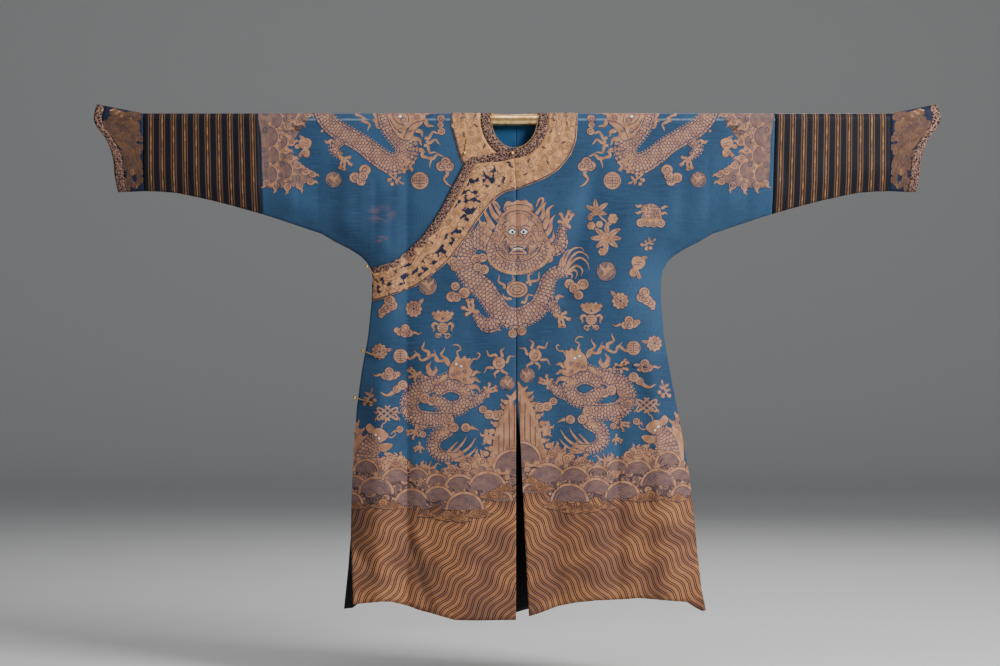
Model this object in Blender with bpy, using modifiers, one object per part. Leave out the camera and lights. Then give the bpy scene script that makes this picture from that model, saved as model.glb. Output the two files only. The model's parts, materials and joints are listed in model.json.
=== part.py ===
"""A dragon robe spread on a brass rod that passes through both sleeves.

Units are metres, +Z is up and +X is the viewer's right. The origin is on the rod's axis, at the neck.
The front of the robe faces -Y. Each sheet is lofted through rows that hang from the fold over the rod,
and a Solidify modifier gives it its wall.
"""

import math

import bmesh
import bpy
from mathutils import Vector

MM = 0.001
NAME = "dragon_robe"

# rod
ROD_RADIUS = 15 * MM
ROD_HALF_LENGTH = 965 * MM
ROD_SIDES = 32

# cloth
WALL = 1.6 * MM  # gauze with its lining
BAND_WALL = 1.0 * MM  # brocade facing
EDGING_WALL = 1.4 * MM  # folded galloon
SEAM = 0.3 * MM  # clear gap between two pieces at a seam
OVER_ROD = ROD_RADIUS + 0.65 * MM  # the cloth turns over the rod in short flats that just clear it
OVER_ROD_ANGLES = (22.5, 45.0, 67.5, 90.0)
HEM_DEPTH = 31 * MM  # half the room between front and back at the hem
HEM_LEVEL = 1260 * MM
CLOSING = 70 * MM  # width over which front and back come together at a seam
LAP_LIFT = 4.4 * MM  # the outer lap lies this far in front of the sheet below it
LAP_LIFT_DROP = 70 * MM
LAP_LIFT_REACH = 330 * MM
LAP_LIFT_FADE = 250 * MM
BAND_LIFT = WALL + 0.5 * MM  # a band on a panel
BAND_EASE = 2.2 * MM  # a band bridges the turn of the panel near the armpit
BAND_EASE_REACH = 130 * MM

# neck opening, an ellipse in front and a shallow dip behind
NECK_X = -7 * MM
NECK_HALF_WIDTH = 62.4 * MM
NECK_DROP = 76.7 * MM
NECK_BACK_DROP = 14 * MM
RING_HALF_WIDTH = 87.6 * MM
RING_DROP = 101 * MM
RING_BACK_DROP = 39 * MM
FACING_HALF_WIDTH = 163 * MM
FACING_BACK_DROP = 115 * MM

# body and sleeves, measured from the centre of the neck and the rod's axis
CENTRE_SEAM = -2.6 * MM
UNDER_LAP_EDGE = -8 * MM
ARMPIT_X = 374 * MM
ARMPIT_Z = -416 * MM
SLIT_TOP = -1084 * MM
SLIT_EASE = 100 * MM
SLEEVE_SEAM_TOP = 669 * MM
SLEEVE_SEAM_LOW = 657 * MM
CUFF_SEAM = 970 * MM
UNDER_LAP_HEM = -1215 * MM

# distance from the centre, height of the sleeve's lower seam, in mm
SLEEVE_LOWER_EDGE = (
    (374, -416), (378, -393), (389, -372), (408, -354), (439, -335), (476, -317), (512, -296),
    (567, -278), (621, -260), (669, -245), (741, -224), (790, -211), (837, -200), (884, -190),
    (931, -186), (970, -185),
)
BLUE_COLUMNS = (374, 378, 389, 408, 439, 476, 520, 567, 621, 669)
STRIPED_COLUMNS = (669, 727, 785, 837, 884, 927, 970)

# height, distance of the body's edge from the centre, in mm
LEFT_EDGE = (
    (-416, 377), (-463, 377), (-564, 387), (-650, 403), (-746, 416), (-850, 424), (-991, 430),
    (-1084, 432), (-1131, 429), (-1300, 422),
)
LEFT_BACK_EDGE = LEFT_EDGE[:-2] + ((-1131, 437), (-1276, 452), (-1300, 454))
RIGHT_EDGE = (
    (-416, 374), (-468, 374), (-566, 382), (-671, 401), (-775, 421), (-905, 445), (-1050, 463),
    (-1123, 468), (-1214, 477), (-1271, 489), (-1300, 494),
)
# height, distance of the vent's open edge from the centre, in mm
VENT_EDGE = ((-736, -2.6), (-832, 8.6), (-941, 14), (-1087, 20.8), (-1300, 31))
# share of the way from side to centre, height of the hem, in mm
LEFT_HEM = (
    (0, -1256), (0.17, -1248), (0.23, -1249), (0.32, -1260), (0.42, -1274), (0.52, -1284),
    (0.62, -1296), (0.79, -1297), (1, -1296),
)
RIGHT_HEM = (
    (0, -1271), (0.02, -1274), (0.06, -1264), (0.1, -1250), (0.25, -1244), (0.37, -1240),
    (0.47, -1244), (0.61, -1245), (0.73, -1251), (0.83, -1261), (0.93, -1277), (1, -1287),
)
# the back's hem shows only at the left slit and in the vent
LEFT_BACK_HEM = (
    (0, -1274), (0.05, -1272), (0.09, -1256), (0.16, -1244), (0.25, -1244), (0.35, -1254), (0.45, -1268),
    (0.56, -1280), (1, -1284),
)
HEM_TUCK = 4 * MM  # the front hangs this much lower than the back on the other half
BODY_SHARES = (0, 0.04, 0.09, 0.16, 0.25, 0.35, 0.45, 0.56, 0.68, 0.8, 0.9, 1)
YOKE_LEVELS = (-30, -55, -70, -76.5, -150, -270, -416)  # in mm
SKIRT_LEVELS = (-520, -626, -736, -850, -970, -1084, -1140, -1195)  # in mm, the hem comes after them

LAP_SHARES = (0, 0.04, 0.09, 0.16, 0.25, 0.35, 0.43, 0.49, 0.56, 0.62, 0.645, 0.67, 0.72, 0.8, 0.9, 1)
LAP_YOKE_SHARES = (0, 0.25, 0.5, 0.75, 1)

# upper edge of the lap from neck to armpit: distance from the centre, height, in mm
LAP_LINE = (
    (-377, -385), (-335, -374), (-304, -359), (-276, -333), (-244, -302), (-216, -263),
    (-195, -229), (-173, -187), (-146, -135), (-136.5, -117), (-127, -105), (-109, -98),
    (-58, -88), (-31, -82), (-2.6, -77),
)

# the edging and the facing along the lap, one row a section:
# upper edge of the edging x and z, its lower edge x and z, outer edge of the facing x and z, in mm
LAP_SECTIONS = (
    (-7, -77, -7, -101, -3, -182),
    (-31, -82, -47, -110, -31, -188.5),
    (-58, -88, -75, -111, -43, -196),
    (-109, -98, -101, -114, -55, -206),
    (-127, -105, -111, -118, -66, -216),
    (-136.5, -117, -116, -126, -76, -227),
    (-146, -135, -124, -141, -84, -238),
    (-173, -187, -149.5, -188.5, -105, -265),
    (-195, -229, -174, -234, -128, -302),
    (-216, -263, -196, -270, -152, -333),
    (-244, -302, -226, -312, -179, -369),
    (-276, -333, -257, -343, -216, -400),
    (-304, -359, -290, -370.5, -261, -432),
    (-335, -374, -328, -389, -312, -451),
    (-356, -379, -352, -395, -345, -464),
    (-375, -384, -374, -400, -375, -472),
)
# angle round the neck from the shoulder, outer edge of the facing x and z, in mm
RIGHT_SECTIONS = (
    (0, 156, 0), (8, 156, -20), (18, 153, -55), (30, 140, -90), (46, 109, -130), (62, 73, -153),
    (77, 31, -170), (89.9, -3, -182),
)
LEFT_SECTIONS = (
    (0, -171, 0), (10, -171, -18), (24, -160, -57), (38, -152, -90), (52, -142, -113), (62, -134, -124),
)
CENTRE_SKIP = 0.6 * MM  # gap in the facing at the centre seam
EDGING_COLUMNS = 2
FACING_COLUMNS = 4
BACK_EDGING_COLUMNS = 3
BACK_BAND_DROPS = (4, 8, 12, 30, 50, 65, 76, 84, 88.2)  # below the rod's axis, in mm

# horse-hoof cuff, one row a section from the upper fold down: outer x and z, width of the edging, in mm
CUFF_SECTIONS = (
    (1092, 41, 21), (1098, 18, 21), (1099, 0, 21), (1090, -20, 22), (1069, -47, 24),
    (1053, -82, 25), (1047, -113, 25), (1045, -145, 24), (1037, -188, 23),
)
CUFF_ROOM = 15 * MM  # half the room between front and back of the cuff's open end
CUFF_COLUMNS = 3

# folds: x at the rod, x at the hem, upper end, lower end, half width, height, in mm
FRONT_FOLDS = (
    (-289, -289, -480, -1300, 26, 5.0),
    (289, 289, -120, -1300, 26, 5.0),
    (-345, -352, -500, -1300, 30, -3.0),
    (190, 205, -350, -1300, 40, 4.0),
    (395, 440, -420, -1300, 30, 4.5),
    (-140, -150, -620, -1300, 45, 4.0),
    (-60, -70, -700, -1300, 40, -3.0),
    (80, 95, -560, -1300, 42, -3.5),
    (-447, -420, -40, -300, 26, 4.0),
    (-590, -560, -30, -240, 26, 4.0),
    (560, 540, -40, -270, 26, 4.0),
)
BACK_FOLDS = (
    (-289, -289, -120, -1300, 26, 5.0),
    (289, 289, -120, -1300, 26, 5.0),
    (-170, -185, -420, -1300, 44, 4.0),
    (160, 175, -480, -1300, 42, 4.0),
    (-360, -400, -560, -1300, 34, 3.5),
    (365, 420, -520, -1300, 34, 3.5),
    (30, 40, -620, -1300, 46, -3.0),
    (-470, -450, -60, -290, 26, 4.0),
    (500, 480, -60, -290, 26, 4.0),
)
FOLD_EASE = 90 * MM
FOLD_RUN = 1300 * MM

# balls: x, z, in mm, and what they lie on
BALL_RADIUS = 4.8 * MM
CORD_RADIUS = 1.5 * MM
LAYER = {
    "under": BAND_LIFT + BAND_WALL,
    "lap": LAP_LIFT + WALL,
    "edging": LAP_LIFT + BAND_LIFT + EDGING_WALL,
}
CLEAR = 0.5 * MM
LOOP_POINTS = 7
BALL_SIDES = 12
BALL_RINGS = 8
LOOP_EASE = 2.2 * MM  # a loop bridges the turn of the cloth at the side
LOOP_EASE_REACH = 42 * MM
# ball x and z, far end of its cord x and z, in mm, and what it lies on
BUTTONS = (
    (-12, -88, None, None, "edging"),
    (-136, -88, -131, -50, "under"),
    (-389, -381, -357, -420, "edging"),
    (-400, -600, -352, -619, "lap"),
    (-421, -722, -375, -734, "lap"),
)
PIPING_RADIUS = 1.3 * MM
PIPING_INSET = 2.7 * MM  # the neck's edge is cut in straight runs, so the cord clears their middles
PIPING_POINTS = 20  # round the front
PIPING_STEP = 20 * MM  # run over which it climbs from the under layer to the lap

GAUZE = ("blue_silk_gauze", (0.035, 0.105, 0.19), 0.75, 0.0)
STRIPED = ("striped_silk", (0.09, 0.065, 0.055), 0.75, 0.0)
BROCADE = ("gold_brocade", (0.42, 0.25, 0.11), 0.7, 0.0)
GALLOON = ("brown_galloon", (0.10, 0.055, 0.045), 0.8, 0.0)
BRASS = ("brass", (0.75, 0.52, 0.22), 0.25, 1.0)
GILT = ("gilt", (0.80, 0.58, 0.25), 0.3, 1.0)


def smooth(value):
    """Eases a share from 0 to 1."""
    value = min(max(value, 0.0), 1.0)
    return value * value * (3 - 2 * value)


def table(rows, value, column=1):
    """Reads a column of a table by straight runs between its rows; the first column gives the place."""
    rows = sorted(rows)
    if value <= rows[0][0]:
        return rows[0][column]
    for low, high in zip(rows, rows[1:]):
        if value <= high[0]:
            share = (value - low[0]) / (high[0] - low[0])
            return low[column] + share * (high[column] - low[column])
    return rows[-1][column]


def sleeve_low(distance):
    """Height of the sleeve's lower seam at a distance from the centre."""
    return table(SLEEVE_LOWER_EDGE, distance / MM) * MM


def seam_distance(x, z, edge):
    """Distance of a point from the seam along sleeve and body, where front and back meet."""
    line = [(d * MM, h * MM) for d, h in reversed(SLEEVE_LOWER_EDGE)] + [(d * MM, h * MM) for h, d in edge]
    point = Vector((abs(x), z))
    nearest = 1.0
    for start, end in zip(line, line[1:]):
        start = Vector(start)
        run = Vector(end) - start
        if run.length < MM:
            continue
        share = min(max((point - start).dot(run) / run.length_squared, 0), 1)
        nearest = min(nearest, (point - start - run * share).length)
    return nearest


def fold_height(x, z, folds):
    """How far the folds push the cloth out at a point."""
    height = 0.0
    for top_x, hem_x, upper, lower, half_width, rise in folds:
        if not lower * MM <= z <= upper * MM + FOLD_EASE:
            continue
        centre = (top_x + (hem_x - top_x) * min(-z / FOLD_RUN, 1)) * MM
        reach = math.exp(-((x - centre) / (half_width * MM)) ** 2)
        height += rise * MM * reach * smooth((upper * MM - z) / FOLD_EASE)
    return height


def room(x, z, face):
    """Distance of a sheet's inner side from the robe's middle plane, below the rod."""
    full = OVER_ROD + (HEM_DEPTH - OVER_ROD) * smooth(-z / HEM_LEVEL)
    folds = FRONT_FOLDS if face < 0 else BACK_FOLDS
    edge = LEFT_EDGE if x < 0 else RIGHT_EDGE
    share = math.sin(math.pi / 2 * min(seam_distance(x, z, edge) / CLOSING, 1))
    share = max(share, smooth((SLIT_TOP - z) / SLIT_EASE))
    return SEAM / 2 + share * (full + fold_height(x, z, folds))


def over_rod(angle, x, face, lift=0.0):
    """Point on the cloth where it turns over the rod; the angle counts from the top."""
    turn = max(math.radians(angle), SEAM / 2 / OVER_ROD)
    radius = OVER_ROD + lift
    return Vector((x, face * radius * math.sin(turn), radius * math.cos(turn)))


def hanging(x, z, face, lift=0.0):
    """Point on the cloth below the rod."""
    return Vector((x, face * (room(x, z, face) + lift), z))


def lap_lift(x, z):
    """How far the outer layer stands in front of the under layer."""
    drop = smooth(-z / LAP_LIFT_DROP)
    reach = smooth((LAP_LIFT_REACH - x) / LAP_LIFT_FADE)
    return LAP_LIFT * drop * reach


def material(finish):
    """One plain material for a finish, made once."""
    name, colour, roughness, metallic = finish
    made = bpy.data.materials.get(name)
    if made:
        return made
    made = bpy.data.materials.new(name)
    made.use_nodes = True
    shader = made.node_tree.nodes["Principled BSDF"]
    shader.inputs["Base Color"].default_value = (*colour, 1)
    shader.inputs["Roughness"].default_value = roughness
    shader.inputs["Metallic"].default_value = metallic
    return made


def add_object(name, data, finish, collection):
    """Puts a mesh or a curve in the part's collection, with a material of its own."""
    own = material(finish).copy()
    own.name = f"{name}_{finish[0]}"
    data.materials.append(own)
    made = bpy.data.objects.new(name, data)
    collection.objects.link(made)
    return made


def sheet(name, rows, face, wall, finish, collection):
    """Lofts a sheet through rows of points of its inner side, and gives it its wall outwards.

    The rows end at the same side. A row may be shorter than the one above it, which ends the loft of
    the columns that it lacks.
    """
    shape = bmesh.new()
    lines = [[shape.verts.new(point) for point in row] for row in rows]
    for upper, lower in zip(lines, lines[1:]):
        above = upper[len(upper) - len(lower):]
        for place in range(len(lower) - 1):
            shape.faces.new((above[place], lower[place], lower[place + 1], above[place + 1]))
    bmesh.ops.recalc_face_normals(shape, faces=shape.faces)
    outward = sum(one.normal.y * one.calc_area() for one in shape.faces)
    if outward * face < 0:
        bmesh.ops.reverse_faces(shape, faces=shape.faces)
    data = bpy.data.meshes.new(name)
    shape.to_mesh(data)
    shape.free()
    data.shade_smooth()
    made = add_object(name, data, finish, collection)
    shell = made.modifiers.new("wall", "SOLIDIFY")
    shell.thickness = wall
    shell.offset = 1
    return made


def neck_edge_front(z, sign):
    """Distance of the neck's front edge from the centre at a height."""
    share = min(abs(z) / NECK_DROP, 1)
    return NECK_X + sign * NECK_HALF_WIDTH * math.sqrt(1 - share * share)


def neck_edge_back(angle, half_width, drop):
    """Half the width of a curve round the back of the neck, where the cloth has turned by an angle."""
    run = math.radians(angle) * OVER_ROD
    share = min(run / drop, 1)
    return half_width * math.sqrt(1 - share * share)


def yoke_inner(z, sign, face, inner):
    """Inner end of a row between the rod and the armpit."""
    if face < 0 and z > -NECK_DROP:
        edge = neck_edge_front(z, sign)
        return max(edge, inner) if sign > 0 else min(edge, inner)
    return inner


def over_rod_inner(angle, sign, face, inner):
    """Inner end of a row where the cloth turns over the rod."""
    half = NECK_HALF_WIDTH
    if face > 0:
        half = neck_edge_back(angle, NECK_HALF_WIDTH, NECK_BACK_DROP)
    edge = NECK_X + sign * half
    return max(edge, inner) if sign > 0 else min(edge, inner)


def sleeve_column(distance, level):
    """Distance from the centre along a sleeve's column; the seam to the striped cloth leans a little."""
    lean = (SLEEVE_SEAM_LOW - SLEEVE_SEAM_TOP) * level / ARMPIT_Z
    if distance <= SLEEVE_SEAM_TOP:
        share = (distance - ARMPIT_X) / (SLEEVE_SEAM_TOP - ARMPIT_X)
    else:
        share = (CUFF_SEAM - distance) / (CUFF_SEAM - SLEEVE_SEAM_TOP)
    return distance + lean * share


def sleeve_rows(columns, sign, face):
    """Rows of a stretch of sleeve, from the fold over the rod to the lower seam."""
    rows = []
    for angle in (0, *OVER_ROD_ANGLES):
        rows.append([over_rod(angle, sign * column, face) for column in columns])
    for level in YOKE_LEVELS:
        row = []
        for column in columns:
            z = level * MM * sleeve_low(column) / ARMPIT_Z
            x = sleeve_column(column, level * MM)
            depth = room(sign * column, z, face)
            row.append(Vector((sign * x, face * depth, z)))
        rows.append(row)
    return rows


def body_rows(sign, face, edge, hem, inner, lift, vent):
    """Rows of half a body: over the rod, the yoke down to the armpit, and the skirt down to the hem."""
    rows = []
    arm = table(edge, ARMPIT_Z / MM) * MM
    for angle in (0, *OVER_ROD_ANGLES):
        near = over_rod_inner(angle, sign, face, inner)
        places = [arm * sign + (near - arm * sign) * share for share in BODY_SHARES]
        rows.append([over_rod(angle, x, face) for x in places])
    for level in YOKE_LEVELS:
        z = level * MM
        near = yoke_inner(z, sign, face, inner)
        rows.append([(arm * sign + (near - arm * sign) * share, z) for share in BODY_SHARES])
    for level in (*SKIRT_LEVELS, None):
        row = []
        for share in BODY_SHARES:
            z = level * MM if level else hem(share)
            side = table(edge, z / MM) * MM * sign
            near = table(vent, z / MM) * MM + SEAM / 2 if vent and z < VENT_EDGE[0][0] * MM else inner
            row.append((side + (near - side) * share, z))
        rows.append(row)
    placed = []
    for row in rows:
        placed.append([
            point if isinstance(point, Vector) else hanging(*point, face, lift(*point) if lift else 0.0)
            for point in row
        ])
    return placed


def body_sheet(name, sign, face, edge, hem, inner, collection, lift=None, vent=None):
    """A body half cut in one with its blue sleeve, as one lofted sheet."""
    sleeve = sleeve_rows([one * MM for one in BLUE_COLUMNS], sign, face)
    for row in sleeve if lift else ():
        for point in row:
            point.y += face * lift(point.x, point.z)
    rows = body_rows(sign, face, edge, hem, inner, lift, vent)
    for place, columns in enumerate(sleeve):
        rows[place] = columns[:0:-1] + [columns[0]] + rows[place][1:]
    return sheet(name, rows, face, WALL, GAUZE, collection)


def lap(collection):
    """The outer lap, from its slanting upper edge down to the hem."""
    near = CENTRE_SEAM - SEAM / 2
    arm = -table(LEFT_EDGE, ARMPIT_Z / MM) * MM
    rows = []
    for share_down in LAP_YOKE_SHARES:
        row = []
        for share in LAP_SHARES:
            x = arm + (near - arm) * share
            top = table(LAP_LINE, x / MM) * MM
            z = top + (ARMPIT_Z - top) * share_down
            row.append(hanging(x, z, -1, lap_lift(x, z)))
        rows.append(row)
    for level in (*SKIRT_LEVELS, None):
        row = []
        for share in LAP_SHARES:
            z = (level or table(LEFT_HEM, share)) * MM
            side = -table(LEFT_EDGE, z / MM) * MM
            x = side + (near - side) * share
            row.append(hanging(x, z, -1, lap_lift(x, z)))
        rows.append(row)
    return sheet("outer_lap", rows, -1, WALL, GAUZE, collection)


def across(start, end, count, place):
    """Points across a band between its two edges."""
    return [place(*(Vector(start).lerp(Vector(end), step / count))) for step in range(count + 1)]


def ring_point(angle, sign, half_width, drop):
    """Point on a curve round the front of the neck; the angle counts from the shoulder down."""
    turn = math.radians(angle)
    return (NECK_X + sign * half_width * math.cos(turn), -drop * math.sin(turn))


def shoulder_rows(start, end, count):
    """Rows of a band where it turns over the rod at the shoulder, in front."""
    places = [start + (end - start) * step / count for step in range(count + 1)]
    return [[over_rod(angle, x, -1, BAND_LIFT) for x in places] for angle in (0, *OVER_ROD_ANGLES[:-1])]


def neck_bands(collection):
    """Edging and facing round the front of the neck and along the lap."""
    half = SEAM / 2

    def outer(x, z):
        ease = 1 - smooth(seam_distance(x, z, LEFT_EDGE) / BAND_EASE_REACH) if x < 0 else 0
        return hanging(x, z, -1, lap_lift(x, z) + BAND_LIFT + BAND_EASE * ease)

    def under(x, z):
        return hanging(x, z, -1, BAND_LIFT)

    edging = shoulder_rows(NECK_X + NECK_HALF_WIDTH, NECK_X + RING_HALF_WIDTH - half, EDGING_COLUMNS)
    facing = shoulder_rows(NECK_X + RING_HALF_WIDTH + half, RIGHT_SECTIONS[0][1] * MM, FACING_COLUMNS)
    for angle, x, z in RIGHT_SECTIONS:
        inner = ring_point(angle, 1, NECK_HALF_WIDTH, NECK_DROP)
        middle = ring_point(angle, 1, RING_HALF_WIDTH - half, RING_DROP - half)
        start = ring_point(angle, 1, RING_HALF_WIDTH + half, RING_DROP + half)
        edging.append(across(inner, middle, EDGING_COLUMNS, outer))
        facing.append(across(start, (x * MM, z * MM), FACING_COLUMNS, outer))
    lap_facing = []
    for top_x, top_z, low_x, low_z, far_x, far_z in LAP_SECTIONS:
        top = Vector((top_x, top_z)) * MM
        low = Vector((low_x, low_z)) * MM
        far = Vector((far_x, far_z)) * MM
        if top_x < LAP_SECTIONS[0][0]:
            half_gap = (low - top).normalized() * half
            edging.append(across(top, low - half_gap, EDGING_COLUMNS, outer))
            lap_facing.append(across(low + half_gap, far, FACING_COLUMNS, outer))
    first = LAP_SECTIONS[0]
    start = (first[2] * MM - CENTRE_SKIP, first[3] * MM - half)
    end = (first[4] * MM - CENTRE_SKIP, first[5] * MM)
    lap_facing.insert(0, across(start, end, FACING_COLUMNS, outer))
    sheet("edging_lap", edging, -1, EDGING_WALL, GALLOON, collection)
    sheet("facing_left", facing, -1, BAND_WALL, BROCADE, collection)
    sheet("facing_lap", lap_facing, -1, BAND_WALL, BROCADE, collection)

    edging = shoulder_rows(NECK_X - NECK_HALF_WIDTH, NECK_X - RING_HALF_WIDTH + half, EDGING_COLUMNS)
    facing = shoulder_rows(NECK_X - RING_HALF_WIDTH - half, LEFT_SECTIONS[0][1] * MM, FACING_COLUMNS)
    for angle, x, z in LEFT_SECTIONS:
        inner = ring_point(angle, -1, NECK_HALF_WIDTH, NECK_DROP)
        middle = ring_point(angle, -1, RING_HALF_WIDTH - half, RING_DROP - half)
        start = ring_point(angle, -1, RING_HALF_WIDTH + half, RING_DROP + half)
        edging.append(across(inner, middle, EDGING_COLUMNS, under))
        facing.append(across(start, (x * MM, z * MM), FACING_COLUMNS, under))
    sheet("edging_right", edging, -1, BAND_WALL, GALLOON, collection)
    sheet("facing_right", facing, -1, BAND_WALL, BROCADE, collection)


def back_band(name, sign, inner, outer, centre, columns, wall, finish, collection):
    """Half of a band round the back of the neck, along the rows of the back panel."""
    rows = []
    quarter = math.pi / 2 * OVER_ROD
    levels = [math.radians(angle) * OVER_ROD for angle in (0, *OVER_ROD_ANGLES)]
    levels += [quarter + drop * MM for drop in BACK_BAND_DROPS]
    for run in levels:
        if run >= outer[1]:
            continue
        near = inner[0] * math.sqrt(max(1 - (run / inner[1]) ** 2, 0))
        far = outer[0] * math.sqrt(1 - (run / outer[1]) ** 2)
        start = max(near, abs(centre)) if sign > 0 else -max(near, abs(centre))
        end = sign * far
        row = []
        for step in range(columns + 1):
            x = NECK_X + start + (end - start) * step / columns
            if run <= quarter:
                row.append(over_rod(math.degrees(run / OVER_ROD), x, 1, BAND_LIFT))
            else:
                row.append(hanging(x, quarter - run, 1, BAND_LIFT))
        rows.append(row)
    return sheet(name, rows, 1, wall, finish, collection)


def back_bands(collection):
    """Edging and facing round the back of the neck, pieced at the centre seam."""
    half = SEAM / 2
    for side, sign in (("left", 1), ("right", -1)):
        gap = CENTRE_SEAM - NECK_X + sign * half
        edges = (NECK_HALF_WIDTH, NECK_BACK_DROP), (RING_HALF_WIDTH - half, RING_BACK_DROP - half)
        name = f"edging_back_{side}"
        back_band(name, sign, *edges, gap, BACK_EDGING_COLUMNS, EDGING_WALL, GALLOON, collection)
        edges = (RING_HALF_WIDTH + half, RING_BACK_DROP + half), (FACING_HALF_WIDTH, FACING_BACK_DROP)
        name = f"facing_back_{side}"
        back_band(name, sign, *edges, gap, FACING_COLUMNS, BAND_WALL, BROCADE, collection)


def cuff_rows(sign, face, edging_part, columns):
    """Rows of a cuff's body, or of its edging, from the upper fold to the lower seam."""
    sleeve = sleeve_rows([CUFF_SEAM], sign, face)
    places = len(CUFF_SECTIONS) - 1
    rows = []
    for place, (outer_x, outer_z, edging) in enumerate(CUFF_SECTIONS):
        row_at = place * (len(sleeve) - 1) / places
        inner = sleeve[round(row_at)][0]
        share = place / places
        swell = SEAM / 2 + CUFF_ROOM * math.sin(math.pi * share)
        outer = Vector((sign * outer_x * MM, face * swell, outer_z * MM))
        run = outer_x * MM - CUFF_SEAM
        border = 1 - edging * MM / run
        start = border + SEAM / run if edging_part else SEAM / run
        end = 1 if edging_part else border
        shares = [start + (end - start) * step / columns for step in range(columns + 1)]
        rows.append([inner.lerp(outer, along) for along in shares])
    return rows


def sleeves(collection):
    """Striped sleeves, horse-hoof cuffs and their edging, front and back."""
    striped = [one * MM for one in STRIPED_COLUMNS]
    striped[0] += SEAM
    for side, sign in (("left", 1), ("right", -1)):
        for where, face in (("front", -1), ("back", 1)):
            tail = f"{side}_{where}"
            sheet(f"sleeve_{tail}", sleeve_rows(striped, sign, face), face, WALL, STRIPED, collection)
            sheet(f"cuff_{tail}", cuff_rows(sign, face, False, CUFF_COLUMNS), face, WALL, BROCADE, collection)
            sheet(f"cuff_edging_{tail}", cuff_rows(sign, face, True, 1), face, WALL, GALLOON, collection)


def tube(name, points, radius, finish, collection, cyclic=False):
    """A cord through points."""
    data = bpy.data.curves.new(name, "CURVE")
    data.dimensions = "3D"
    data.bevel_depth = radius
    data.bevel_resolution = 1
    data.render_resolution_u = 0
    data.use_fill_caps = True
    line = data.splines.new("POLY")
    line.points.add(len(points) - 1)
    for place, point in enumerate(points):
        line.points[place].co = (*point, 1)
    line.use_cyclic_u = cyclic
    return add_object(name, data, finish, collection)


def piping(collection):
    """The thin corded edge inside the neck opening."""
    half_width = NECK_HALF_WIDTH - PIPING_INSET
    lift = PIPING_RADIUS + SEAM
    points = []
    for step in range(PIPING_POINTS + 1):
        turn = math.pi * step / PIPING_POINTS
        x = NECK_X + half_width * math.cos(turn)
        z = -(NECK_DROP - PIPING_INSET) * math.sin(turn)
        layer = lap_lift(x, z) * smooth((x - NECK_X) / PIPING_STEP + 0.5)
        points.append(hanging(x, z, -1, lift + layer))
    for angle in reversed(OVER_ROD_ANGLES[:-1]):
        points.append(over_rod(angle, NECK_X - half_width, -1, lift))
    for step in range(PIPING_POINTS // 2 + 1):
        turn = math.pi * step / (PIPING_POINTS // 2)
        run = (NECK_BACK_DROP - 1.5 * PIPING_INSET) * math.sin(turn)
        x = NECK_X - half_width * math.cos(turn)
        points.append(over_rod(math.degrees(run / OVER_ROD), x, 1, lift))
    for angle in OVER_ROD_ANGLES[:-1]:
        points.append(over_rod(angle, NECK_X + half_width, -1, lift))
    return tube("neck_piping", points, PIPING_RADIUS, BROCADE, collection, cyclic=True)


def buttons(collection):
    """Five ball buttons, each with the cord loop that holds it."""
    for number, (x, z, far_x, far_z, layer) in enumerate(BUTTONS, 1):
        lift = LAYER[layer] + CLEAR
        x, z = x * MM, z * MM
        centre = hanging(x, z, -1, lift + BALL_RADIUS)
        shape = bmesh.new()
        bmesh.ops.create_uvsphere(shape, u_segments=BALL_SIDES, v_segments=BALL_RINGS, radius=BALL_RADIUS)
        data = bpy.data.meshes.new(f"button_{number}")
        shape.to_mesh(data)
        shape.free()
        data.shade_smooth()
        ball = add_object(f"button_{number}", data, GILT, collection)
        ball.location = centre
        if far_x is None:
            continue
        far = Vector((far_x * MM, far_z * MM))
        near = Vector((x, z))
        start = near + (far - near).normalized() * (BALL_RADIUS + SEAM)
        points = []
        for step in range(LOOP_POINTS):
            place = start.lerp(far, step / (LOOP_POINTS - 1))
            ease = 1 - smooth(seam_distance(place.x, place.y, LEFT_EDGE) / LOOP_EASE_REACH)
            points.append(hanging(place.x, place.y, -1, lift + CORD_RADIUS + LOOP_EASE * ease))
        tube(f"loop_{number}", points, CORD_RADIUS, BROCADE, collection)


def rod(collection):
    """The brass rod through both sleeves."""
    shape = bmesh.new()
    ends = {"radius1": ROD_RADIUS, "radius2": ROD_RADIUS, "depth": 2 * ROD_HALF_LENGTH}
    bmesh.ops.create_cone(shape, cap_ends=True, segments=ROD_SIDES, **ends)
    data = bpy.data.meshes.new("rod")
    shape.to_mesh(data)
    shape.free()
    made = add_object("rod", data, BRASS, collection)
    made.rotation_euler.y = math.pi / 2
    return made


def main():
    """Builds the robe."""
    for old in list(bpy.data.objects):
        bpy.data.objects.remove(old)
    parts = bpy.data.collections.new(NAME)
    bpy.context.scene.collection.children.link(parts)
    half = SEAM / 2
    body_sheet("front_right", -1, -1, LEFT_EDGE, lambda share: UNDER_LAP_HEM, UNDER_LAP_EDGE, parts)
    body_sheet(
        "front_left", 1, -1, RIGHT_EDGE, lambda share: table(RIGHT_HEM, share) * MM,
        CENTRE_SEAM + half, parts, lap_lift, VENT_EDGE,
    )
    body_sheet(
        "back_right", -1, 1, LEFT_BACK_EDGE, lambda share: table(LEFT_BACK_HEM, share) * MM,
        CENTRE_SEAM - half, parts,
    )
    body_sheet(
        "back_left", 1, 1, RIGHT_EDGE, lambda share: table(RIGHT_HEM, share) * MM + HEM_TUCK,
        CENTRE_SEAM + half, parts,
    )
    lap(parts)
    sleeves(parts)
    neck_bands(parts)
    back_bands(parts)
    piping(parts)
    buttons(parts)
    rod(parts)


main()
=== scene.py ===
"""A silk gauze dragon robe spread on a brass rod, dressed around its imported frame.

Units are metres, +Z is up, +X is the viewer's right and the front of the robe faces -Y. Every cloth is a
thin shell drawn on the flat cut first, as x across and v down from the level of the rod's axis, and then laid
over the rod and down the robe by one rule, so sheets, bands and woven figures all follow the same folds.
"""

import json
import logging
import math
from dataclasses import dataclass, field
from enum import Enum
from typing import Callable, Optional, Sequence

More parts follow.
